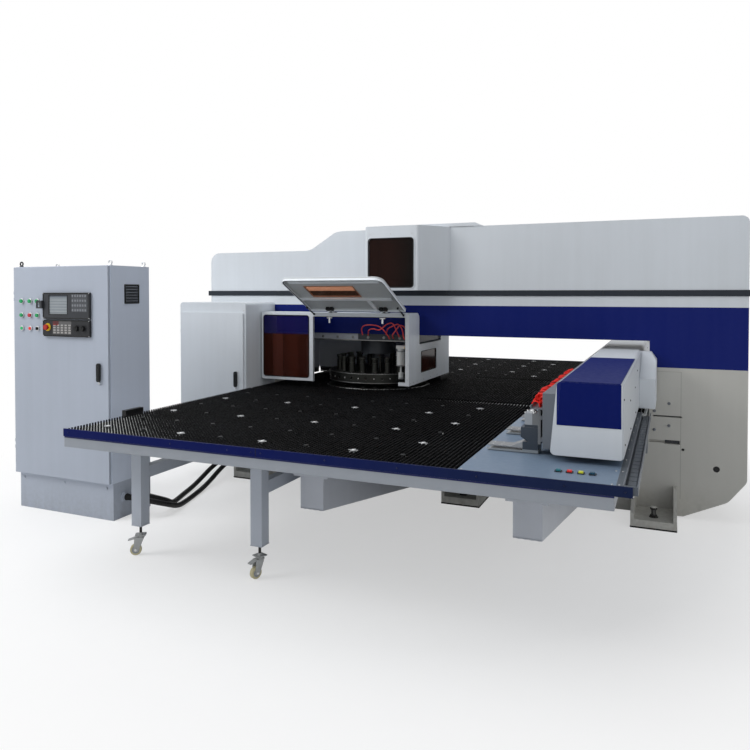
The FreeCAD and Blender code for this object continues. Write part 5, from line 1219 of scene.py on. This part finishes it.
class PRESS_OT_turret(bpy.types.Operator):
    """Finish both turrets and the carrier, and add index rings, springs and tool holders"""
    bl_idname = "press.turret"
    bl_label = "Turret"

    def execute(self, context):
        dress("oxide_steel", "upper_turret", "lower_turret", "punch_tools")
        dress("carrier_paint", "turret_carrier")
        middle = (TURRET_X, 0, 0)
        stations = [(TURRET_X + a, b) for a, b in circle(STATIONS, STATION_RADIUS)]
        springs = Build()
        collars = Build()
        screws = circle(STATIONS, COLLAR_SCREW_RADIUS, math.radians(9))
        for (x, y), (a, b) in zip(stations, screws):
            springs.tube([(x + 27.5 * math.cos(k * 0.7854), y + 27.5 * math.sin(k * 0.7854),
                           1131 + k * 0.72) for k in range(48)], 2.4, 5)
            collars.lathe([(37, 1041), (37, 1049), (34, 1052), (31, 1052)], (x, y, 0), UP, 22)
            collars.screw((TURRET_X + a, b, 1041), UP, 7)
        springs.done("tool_springs", "machined_steel", "oxide_steel", body="upper_turret",
                     angle=70)
        collars.done("tool_collars", "machined_steel", "oxide_steel", body="upper_turret")
        rings = Build()
        for low, high in ((1033, 1040.6), (949, 956.5)):
            rings.lathe([(RIM_RADIUS, low), (RIM_RADIUS + 1.6, low + 1.5),
                         (RIM_RADIUS + 1.6, low + 6), (RIM_RADIUS, high)], middle, UP, 120)
        for a, b in circle(STATIONS, RIM_RADIUS - 0.2):
            rings.screw((TURRET_X + a, b, 994), (a, b, 0), 6, 1)
        rings.done("upper_index_ring", "machined_steel", "worn_steel", "steel",
                   body="upper_turret")
        lower = Build()
        lower.lathe([(492.5, 884), (494.4, 886), (494.4, 898), (492.5, 901)], middle, UP, 120)
        for x, y in stations:
            lower.lathe([(36, 903), (36, 904.4), (34, 904.9), (25, 904.9), (24, 903)], (x, y, 0),
                        UP, 22, 1)
        lower.done("die_holders", "machined_steel", "worn_steel", "tool_steel",
                   body="lower_turret")
        carrier = Build()
        for out in (-1, 1):
            for x in range(-1520, -230, 160):
                carrier.bolt((x, out * 300, 1365), (0, out, 0), 10)
            carrier.box(-1590, -225, *span(out, 300, 306), 1332, 1344, 2)
        carrier.done("carrier_bolts", "machined_steel", "worn_steel")
        return {"FINISHED"}


def lid_point(x, along, inside):
    """A point of the open lid: along it from its hinge, and inside from its outer sheet."""
    down = -13.5 - along
    return (x, LID_Y + inside * math.cos(LID_OPEN) + down * math.sin(LID_OPEN),
            LID_Z - inside * math.sin(LID_OPEN) + down * math.cos(LID_OPEN))


def lid_bar(piece, x0, x1, near, far, low, high):
    """Bar on the open lid, between two distances from its hinge and two depths."""
    corners = ((near, low), (far, low), (far, high), (near, high))
    piece.rings([[lid_point(x, along, inside) for along, inside in corners] for x in (x0, x1)])


class PRESS_OT_guard(bpy.types.Operator):
    """Finish the turret guard, its lid, windows, seals, hinges and stays"""
    bl_idname = "press.guard"
    bl_label = "Turret guard"

    def execute(self, context):
        dress("guard_paint", "turret_guard")
        dress("lid_paint", "guard_lid")
        dress("black_plastic", "guard_hinges")
        dress("amber", "viewing_windows")
        dress("clear_amber", "lid_window")
        seals = Build()
        seals.bead(rounded(-1692, -1198, 992, 1575, 25), on_front, -591, 3.4)
        seals.bead(rounded(-273, 162, 1054, 1248, 12), on_side, -199, 3.2)
        seals.tube([(x, -590.2, z) for x, z in
                    ((-1152, 965), (-1152, 1300), (-1152, 1562), (-1145, 1566), (-700, 1566),
                     (-246, 1566), (-239, 1562), (-239, 1300), (-239, 995))], 2.2, 8)
        seals.done("guard_seals", "black_rubber", "rubber", angle=60)
        screws = Build()
        for z in (1020, 1150, 1280, 1410, 1540):
            for x in (-218, -1176):
                screws.screw((x, -590, z), FRONT, 5)
        for x in (-1600, -1450, -1300):
            for z in (979, 1590):
                screws.screw((x, -590, z), FRONT, 5)
        for y in (-560, -470, -380, -200, 0, 200):
            screws.screw((-200, y, 985), RIGHT, 5)
        screws.done("guard_screws", "machined_steel", "zinc")
        brackets = Build()
        for x in (-985, -455):
            brackets.box(x - 26, x + 26, -589, -566, 1550, 1562)
            brackets.box(x - 8, x + 8, -589, -572, 1508, 1551)
            for dx in (-16, 16):
                brackets.screw((x + dx, -589, 1556), FRONT, 4)
        brackets.done("hinge_brackets", "machined_steel", "zinc")
        pads = Build()
        for x in (-960, -430):
            for dx in (-20, 20):
                lid_bar(pads, x + dx - 15, x + dx + 15, 3, 38, -22, 5)
            lid_bar(pads, x - 36, x + 36, 3, 14, -22, 1)
        pads.done("lid_hinge_pads", "black_plastic", "black_plastic", body="guard_lid")
        self.strip_brush()
        self.stays()
        lip = Build()
        lip.tube([lid_point(x, along, 2) for x, along in
                  ((-1160, 12), (-1160, 300), (-1160, 552), (-1140, 598), (-1098, 615),
                   (-700, 615), (-293, 615), (-251, 598), (-231, 552), (-231, 300), (-231, 12))],
                 3.0, 8)
        lip.done("lid_edge_trim", "black_rubber", "rubber", body="guard_lid", angle=60)
        return {"FINISHED"}

    def strip_brush(self):
        """Strips of bristle blocks under the rear wall of the guard and its rear ends."""
        comb = Build()
        chance = random.Random(11)

        def bristles(start, count, lay, near, far):
            for i in range(count):
                a = start + i * 12
                foot = 908 + chance.uniform(0, 4)
                comb.slab([(a + 1, foot), (a + 10, foot), (a + 11.4, 951), (a - 0.4, 951)],
                          lay, near, far, 0.8)

        comb.box(-1700, -210, 584, 592, 950, 966, 1.5, 1)
        bristles(-1696, 124, on_front, 585.5, 590.5)
        for x in (-1712, -204):
            comb.box(x - 5, x + 5, 326, 584, 950, 964, 1.5, 1)
            bristles(328, 21, on_side, x - 2.5, x + 2.5)
        comb.done("guard_strip_brush", "black_rubber", "rubber", "dark_paint", angle=60)

    def stays(self):
        """Gas springs that hold the lid open, with their end eyes."""
        stays = Build()
        for x in (-1140, -251):
            foot = Vector((x, -592, 1588))
            head = Vector(lid_point(x, 120, 26))
            stays.tube([foot, foot.lerp(head, 0.55)], 7.0, 12, 1)
            stays.tube([foot.lerp(head, 0.5), head], 4.0)
            for spot in (foot, head):
                stays.lathe([(9, -7), (10, -5), (10, 5), (9, 7)], spot, RIGHT, 14, 1)
        stays.done("lid_stays", "black_plastic", "zinc", "black_plastic", body="guard_lid")


AIR_ROUTES = (
    ((-760, -340, 1392), (-742, -400, 1452), (-690, -440, 1486), (-600, -450, 1490),
     (-540, -430, 1470), (-500, -400, 1420), (-480, -350, 1360)),
    ((-700, -345, 1390), (-660, -420, 1440), (-600, -460, 1456), (-540, -450, 1448),
     (-470, -440, 1500), (-420, -430, 1505), (-390, -410, 1440), (-380, -360, 1380)),
    ((-520, -340, 1400), (-470, -420, 1455), (-420, -450, 1480), (-360, -440, 1500),
     (-330, -420, 1450), (-320, -405, 1380), (-300, -400, 1350)),
    ((-440, -345, 1360), (-420, -430, 1400), (-380, -460, 1440), (-340, -450, 1490),
     (-300, -430, 1470), (-285, -420, 1400), (-288, -450, 1300)),
)


class PRESS_OT_air_line(bpy.types.Operator):
    """Add the red air lines, the filter bowls and the brass fittings inside the guard"""
    bl_idname = "press.air_line"
    bl_label = "Air line"

    def execute(self, context):
        dress("white_plastic", "lubricator")
        bowl = (-350, -400, 0)
        fittings = Build()
        for z in (1250, 1122):
            fittings.lathe([(40, z), (41.5, z + 2), (41.5, z + 8), (40, z + 10)], bowl, UP, 28)
        fittings.lathe([(9, 0), (13, 4), (13, 18), (8, 22), (8, 34), (0, 34)], (-290, -425, 1290),
                       FRONT, 6, 1)
        fittings.lathe([(13, 0), (13, 16), (10, 20), (10, 40), (7, 44), (0, 44)],
                       (-300, -400, 1306), UP, 6, 1)
        fittings.lathe([(24, 1000), (25, 1004), (25, 1012), (23, 1016)], bowl, UP)
        fittings.done("air_fittings", "machined_steel", "grey_plastic", "brass")
        lines = Build()
        for route in AIR_ROUTES:
            lines.tube(smooth(route), 6.0)
        lines.done("guard_air_lines", "red_hose", "air_line", angle=60)
        return {"FINISHED"}


# Each coil of the air hoses: its middle, its radius and the rise of a turn
HOSE_COILS = ((1249, 1182, 22, 27), (1294, 1184, 23, 31), (1266, 1214, 26, 24),
              (1284, 1204, 20, 37))
HOSE_START, HOSE_LENGTH = -2530, 1395
COIL_STEPS = 12


class PRESS_OT_beam(bpy.types.Operator):
    """Finish the carriage beam and its cover, with the panel edges, screws and hose bundle"""
    bl_idname = "press.beam"
    bl_label = "Carriage beam"

    def execute(self, context):
        dress("grey_paint", "carriage_beam")
        dress("cover_paint", "beam_cover")
        screws = Build()
        for y, z in ((-1445, 1164), (-2010, 1159), (-2040, 1000), (-2560, 1240), (-2560, 1010),
                     (-1100, 1240), (-1445, 1000)):
            lean = (z - 940) * 10 / 385
            for out in (1, -1):
                screws.screw((1706 - lean, out * y, z), RIGHT)
        screws.done("cover_screws", "black_plastic", "black_plastic", body="beam")
        panel = Build()
        panel.slab([(1373.5, 1099), (1690, 1099), (1687, 1322), (1392, 1322)], on_front,
                   -2622.5, -2619)
        panel.slab([(1391, -2621), (1686, -2621), (1686, -1162), (1391, -1162)], on_top,
                   1324, 1327.5)
        panel.done("cover_navy_panel", "navy_paint", "navy_paint", body="beam")
        hoses = Build()
        chance = random.Random(7)
        for x, z, wide, pitch in HOSE_COILS:
            coil = []
            for i in range(int(HOSE_LENGTH / pitch) * COIL_STEPS):
                angle = math.tau * i / COIL_STEPS
                y = HOSE_START + i * pitch / COIL_STEPS
                sway = 4 * math.sin(y * 0.013 + x)
                loop = wide + 5 * math.sin(i * 0.37 + x) * math.sin(i * 0.031) \
                    + chance.uniform(-0.8, 0.8)
                coil.append((x + sway + loop * math.cos(angle), y + 7 * math.sin(i * 0.19 + z),
                             z + 4 * math.sin(y * 0.02 + x) + loop * math.sin(angle)))
            hoses.tube(coil, 3.6, 6)
        for y in range(-2480, -1140, 220):
            hoses.bead(rounded(1222, 1320, 1155, 1246, 26, 3), on_front, y, 1.8, 5, 1)
        bundle = hoses.done("air_hose_bundle", "red_hose", "hose", "black_plastic", body="beam",
                            angle=60)
        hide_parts("air_hoses")
        return {"FINISHED"}


class PRESS_OT_clamps(bpy.types.Operator):
    """Finish the clamp carriage and jaws, with their cylinders, bolts and grip pads"""
    bl_idname = "press.clamps"
    bl_label = "Clamps"

    def execute(self, context):
        dress("clamp_paint", "clamp_carriage")
        dress("jaw_steel", "clamp_jaws")
        bolts = Build()
        pads = Build()
        for y in CLAMPS:
            for x in (1182, 1230):
                for dy in (-34, 34):
                    bolts.screw((x, y + dy, 1126), UP)
            bolts.lathe([(20, 0), (20, 10), (16, 12), (16, 22), (12, 25), (0, 25)],
                        (1217, y, 1126), UP)
            for z in (1030, 1000):
                for dy in (-30, 30):
                    bolts.screw((1160, y + dy, z), LEFT)
            pads.box(978, 1060, y - 40, y + 40, 928.2, 930.4, 0.6)
            for x in (1002, 1050):
                for dy in (-26, 26):
                    pads.screw((x, y + dy, 937.6), UP, 4, 1)
        for y in range(-2460, -1420, 120):
            bolts.screw((1238, y, 1130), LEFT)
        bolts.done("clamp_bolts", "machined_steel", "zinc", body="clamps")
        pads.done("jaw_pads", "machined_steel", "oxide_steel", "zinc", body="jaws")
        return {"FINISHED"}


class PRESS_OT_cabinet(bpy.types.Operator):
    """Finish the control cabinet: seal, handle, vent louvres, eyes and plinth bolts"""
    bl_idname = "press.cabinet"
    bl_label = "Control cabinet"

    def execute(self, context):
        # The body's finish is painted light: lighter than the door and plinth.
        dress("cabinet_side_paint", "cabinet_body")
        dress("cabinet_paint", "cabinet_door", "cabinet_plinth")
        dress("black_plastic", "cabinet_handle")
        seal = Build()
        seal.bead(rounded(-3103, -2090, 296, 1994, 6, 3), on_front, -2163, 2.0, 6)
        seal.done("cabinet_seal", "black_rubber", "rubber", angle=60)
        vent = Build()
        vent.ring_plate(rounded(-2018, -1856, 1699, 1854, 4, 3), on_side, -2080, -2073.5, 10)
        for i in range(12):
            z = 1712 + i * 11.4
            vent.slab([(-2010, z), (-1864, z), (-1864, z + 7), (-2010, z + 7)], on_side,
                      -2079.5, -2074.5)
        vent.done("cabinet_vent", "black_plastic", "black_plastic")
        bolts = Build()
        for x in (-3040, -2592, -2145):
            bolts.bolt((x, -2150, 250), FRONT)
        for y in (-2080, -1800):
            bolts.bolt((-2080, y, 250), RIGHT)
        bolts.done("plinth_bolts", "grey_paint", "cabinet_paint")
        door_lock("cabinet", -2176, 1220, -2192, -2195.2, (-2206.8, -2209.6))
        eyes = Build()
        for y in (-2132.7, -1765):
            for x in (-3075, -2110):
                paint = int((x, y) == (-3075, -2132.7))
                eyes.bead([(x + a, 2026 + b) for a, b in circle(24, 15.5)], on_front, y, 5.8, 10,
                          paint)
                eyes.lathe([(17, 0), (17, 5), (12, 9), (10, 11)], (x, y, 2000), UP, 20, paint)
        eyes.done("lifting_eyes", "machined_steel", "zinc", "black_paint", angle=60)
        return {"FINISHED"}


class PRESS_OT_controls(bpy.types.Operator):
    """Finish the display, operator panel, lamps, buttons and knobs on the cabinet door"""
    bl_idname = "press.controls"
    bl_label = "Controls"

    def execute(self, context):
        dress("display", "display_unit")
        dress("panel", "operator_panel")
        dress("lamps", "indicator_lamps")
        dress("green_cap", "start_button")
        dress("red_cap", "stop_button")
        dress("stop_cap", "emergency_stop")
        dress("black_plastic", "selector_switch", "feed_knob", "speed_knob")
        frames = Build()
        x0, x1 = -2757, -2257
        for z0, z1 in ((1577, 1787), (1436, 1569)):
            frames.ring_plate(rounded(x0, x1, z0, z1, 6, 3), on_front, -2203, -2205.5, 9)
            for x in (x0 + 6, x1 - 6):
                for z in (z0 + 6, z1 - 6):
                    frames.screw((x, -2205.4, z), FRONT, 3.4, 1)
        frames.ring_plate(rounded(-2694, -2488, 1610, 1770, 5, 3), on_front, -2203, -2204.4, 6)
        frames.done("display_frames", "black_plastic", "black_plastic", "zinc",
                    body="cabinet_door")
        collars = Build()
        for z, face in ((1718, -2190), (1603, -2190), (1495, -2191)):
            for x in (-3008, -2915, -2832):
                collars.lathe([(20.6, 0), (20.6, 3), (19, 4.4), (17.2, 4.4)], (x, face, z), FRONT)
        collars.done("button_collars", "machined_steel", "zinc", body="cabinet_door")
        for knob, x in (("feed_knob", -2390), ("speed_knob", -2325)):
            ridges = Build()
            for a, b in circle(18, 21):
                ridges.tube([(x + a, -2205, 1505 + b), (x + a, -2221, 1505 + b)], 1.6, 5)
            ridges.done(knob + "_ridges", "black_plastic", "black_plastic", body=knob, angle=60)
        cap = Build()
        cap.lathe([(21.4, 0), (22.6, 3), (22.6, 9), (20, 13), (12, 15.6), (0, 16.4)],
                  (-2703, -2216.6, 1510), FRONT, 32)
        cap.done("emergency_cap", "red_plastic", "stop_cap", body="emergency_stop", angle=50)
        return {"FINISHED"}


# Each conduit's length in metres, and the points that it is laid along
CONDUITS = {
    "conduit_outer": (1.892, (
        (-2050, -2040, 165), (-1945, -2040, 165), (-1841, -1978, 134), (-1788, -1865, 88),
        (-1801, -1727, 33), (-1850, -1566, 22), (-1904, -1375, 22), (-1955, -1190, 28),
        (-1995, -1010, 60), (-2028, -835, 108), (-2048, -670, 142), (-2056, -520, 153),
        (-2056, -380, 153))),
    "conduit_inner": (1.779, (
        (-2050, -1940, 165), (-1952, -1940, 165), (-1874, -1889, 136), (-1844, -1803, 95),
        (-1876, -1715, 48), (-1939, -1582, 23), (-2005, -1404, 22), (-2056, -1222, 28),
        (-2092, -1050, 58), (-2120, -870, 108), (-2138, -700, 142), (-2145, -530, 153),
        (-2145, -380, 153))),
}
RIBLESS_END = 70.0


def route_curve(name, route, bevel):
    """One smooth spline whose control points are a conduit's route points."""
    data = bpy.data.curves.new(name, "CURVE")
    data.dimensions = "3D"
    data.resolution_u = 12
    spline = data.splines.new("NURBS")
    spline.points.add(len(route) - 1)
    for point, place in zip(spline.points, route):
        point.co = (*at(*place), 1.0)
    spline.order_u = 3
    spline.use_endpoint_u = True
    if bevel:
        data.bevel_depth = bevel
        data.bevel_resolution = 6
        data.use_fill_caps = True
    return placed(name, data)


def spline_points(name, route):
    """Points along a route's spline, in machine millimetres, read from the curve itself."""
    guide = route_curve(name + "_guide", route, 0.0)
    bpy.context.view_layer.update()
    mesh = bpy.data.meshes.new_from_object(guide)
    points = [Vector(((v.co.x - DATUM) * 1000, v.co.y * 1000, v.co.z * 1000))
              for v in mesh.vertices]
    bpy.data.meshes.remove(mesh)
    bpy.data.objects.remove(guide)
    return points


class PRESS_OT_conduits(bpy.types.Operator):
    """Lay the two ribbed conduits from the cabinet's plinth to the frame"""
    bl_idname = "press.conduits"
    bl_label = "Conduits"

    def execute(self, context):
        pitch = sizes().rib_pitch * 1000
        crest = CONDUIT_RADIUS + sizes().rib_height * 1000
        root = CONDUIT_RADIUS - 0.4
        boot = [(26.5, 0), (27.5, 3), (27.5, 8), (25, 12)]
        for i in range(5):
            boot += [(25.2 - i * 0.6, 15 + i * 8), (23.4 - i * 0.35, 19 + i * 8)]
        boot += [(22.0, 56), (21.2, 58)]
        for name, (length, route) in CONDUITS.items():
            line = route_curve(name + "_tube", route, CONDUIT_RADIUS * 0.001)
            line.data.materials.append(finish("conduit"))
            ribs = Build()
            points = spline_points(name, route)
            travelled = 0.0
            following = RIBLESS_END
            last = sum((b - a).length for a, b in zip(points, points[1:])) - RIBLESS_END
            for before, after in zip(points, points[1:]):
                run = (after - before).length
                while following < travelled + run and following < last:
                    spot = before.lerp(after, (following - travelled) / run)
                    ribs.lathe([(root, -pitch * 0.32), (crest, -pitch * 0.14),
                                (crest, pitch * 0.14), (root, pitch * 0.32)],
                               spot, (after - before).normalized(), 20)
                    following += pitch
                travelled += run
            ribs = ribs.done(name + "_ribs", "black_plastic", "conduit", angle=70)
            reliefs = Build()
            x, y, z = route[0]
            reliefs.lathe(boot, (x - 1, y, z), RIGHT, 26)
            x, y, z = route[-1]
            reliefs.lathe(boot, (x, y + 1, z), FRONT, 26)
            reliefs = reliefs.done(name + "_reliefs", "black_rubber", "rubber", angle=50)
            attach(line, "frame")
            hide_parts(name)
            at(*route[0])
        return {"FINISHED"}


# ------------------------------------------------------------------ stage

# Each lamp's place, what it points at and its size, in metres; its power is a setting
LAMPS = {
    "key": ((-5.2, -5.4, 5.4), (-0.8, -0.8, 1.2), 3.0),
    "fill": ((11.0, -7.5, 3.0), (0.0, -1.0, 1.0), 7.0),
    "top": ((-1.6, -1.2, 7.2), (0.0, 0.0, 0.0), 7.0),
    "front": ((3.5, -9.0, 0.9), (0.3, 0.0, 1.0), 5.0),
}


class PRESS_OT_studio(bpy.types.Operator):
    """Add the pale floor, the white surround, the soft lamps and the camera"""
    bl_idname = "press.studio"
    bl_label = "Studio"

    def execute(self, context):
        scene = context.scene
        scene.view_settings.view_transform = "Standard"
        camera = placed("camera", bpy.data.cameras.new("camera"))
        camera.data.lens = 33.12
        camera.data.shift_y = -0.0893
        camera.data.clip_end = 100.0
        camera.location = (2.2415, -6.270, 1.780)
        camera.rotation_euler = [math.radians(angle) for angle in (88.8, 0.0, 23.25)]
        scene.camera = camera
        for name, (place, target, size) in LAMPS.items():
            lamp = placed(name, bpy.data.lights.new(name, "AREA"))
            lamp.data.shape = "SQUARE"
            lamp.data.size = size
            lamp.data.energy = getattr(scene.press_studio, name)
            lamp.location = place
            aim = Vector(target) - Vector(place)
            lamp.rotation_euler = aim.to_track_quat("-Z", "Y").to_euler()
        self.surround(scene)
        self.floor()
        return {"FINISHED"}

    def surround(self, scene):
        """White where a camera, a mirror or a clear pane looks at it, and dimmer as light."""
        scene.world = bpy.data.worlds.new("surround")
        scene.world.use_nodes = True
        nodes = Nodes(scene.world.node_tree)
        nodes.tree.nodes.clear()
        camera, glossy, clear = nodes.rays()
        seen = clear.math("MAXIMUM", camera, clear)
        seen = seen.math("MAXIMUM", seen, glossy)
        light = nodes.node("ShaderNodeBackground", {},
                           {"Color": (0.93, 0.96, 1.0), "Strength": scene.press_studio.ambient})
        white = nodes.node("ShaderNodeBackground", {}, {"Color": (1.0, 1.0, 1.0), "Strength": 1.0})
        blend = nodes.node("ShaderNodeMixShader", {}, {0: seen, 1: light, 2: white})
        nodes.node("ShaderNodeOutputWorld", {}, {"Surface": blend})

    def floor(self):
        """Pale floor that keeps the machine's shadow and fades into the white surround."""
        f = Finish("floor", {"Roughness": 0.7})
        grain = f.noise(6.0, 4)
        f.set("Base Color", f.mix(grain, (0.9, 0.905, 0.91), (0.94, 0.945, 0.95)))
        f.relief(grain, 0.0004)
        back = f.y + 0.6
        far = 0.5 + 0.5 * f.step(f.x * f.x + back * back, 13.5, 6.5)
        camera, glossy, clear = f.rays()
        glow = f.node("ShaderNodeEmission")
        blend = f.node("ShaderNodeMixShader", {}, {0: far * (camera + glossy + clear),
                                                   1: Wire(f, f.shader.outputs[0]), 2: glow})
        f.join(blend, f.tree.nodes["Material Output"].inputs["Surface"])
        mesh = bpy.data.meshes.new("floor")
        mesh.from_pydata([(-30, -30, 0), (30, -30, 0), (30, 30, 0), (-30, 30, 0)], [],
                         [(0, 1, 2, 3)])
        mesh.materials.append(f.material)
        placed("floor", mesh)


# ------------------------------------------------------------------ panel

PIECES = (
    PRESS_OT_main_frame, PRESS_OT_feet, PRESS_OT_hood, PRESS_OT_side_enclosure,
    PRESS_OT_brush_tables, PRESS_OT_ball_units, PRESS_OT_table, PRESS_OT_legs, PRESS_OT_arms,
    PRESS_OT_turret, PRESS_OT_guard, PRESS_OT_air_line, PRESS_OT_beam, PRESS_OT_clamps,
    PRESS_OT_cabinet, PRESS_OT_controls, PRESS_OT_conduits, PRESS_OT_studio,
)
GROUPS = {
    "press_colours": PressColours,
    "press_sizes": PressSizes,
    "press_studio": PressStudio,
}


class PRESS_PT_panel(bpy.types.Panel):
    """The press's pieces and settings"""
    bl_idname = "PRESS_PT_panel"
    bl_label = "Turret punch press"
    bl_space_type = "VIEW_3D"
    bl_region_type = "UI"
    bl_category = "Press"

    def draw(self, context):
        for piece in PIECES:
            self.layout.operator(piece.bl_idname)
        for name, group in GROUPS.items():
            box = self.layout.box()
            for setting in group.__annotations__:
                box.prop(getattr(context.scene, name), setting)


def register():
    for kind in (*GROUPS.values(), *PIECES, PRESS_PT_panel):
        bpy.utils.register_class(kind)
    for name, group in GROUPS.items():
        setattr(bpy.types.Scene, name, PointerProperty(type=group))


def unregister():
    for name in GROUPS:
        delattr(bpy.types.Scene, name)
    for kind in reversed((*GROUPS.values(), *PIECES, PRESS_PT_panel)):
        bpy.utils.unregister_class(kind)


def main():
    register()
    for piece in PIECES:
        group, name = piece.bl_idname.split(".")
        getattr(getattr(bpy.ops, group), name)()


if __name__ == "__main__":
    main()
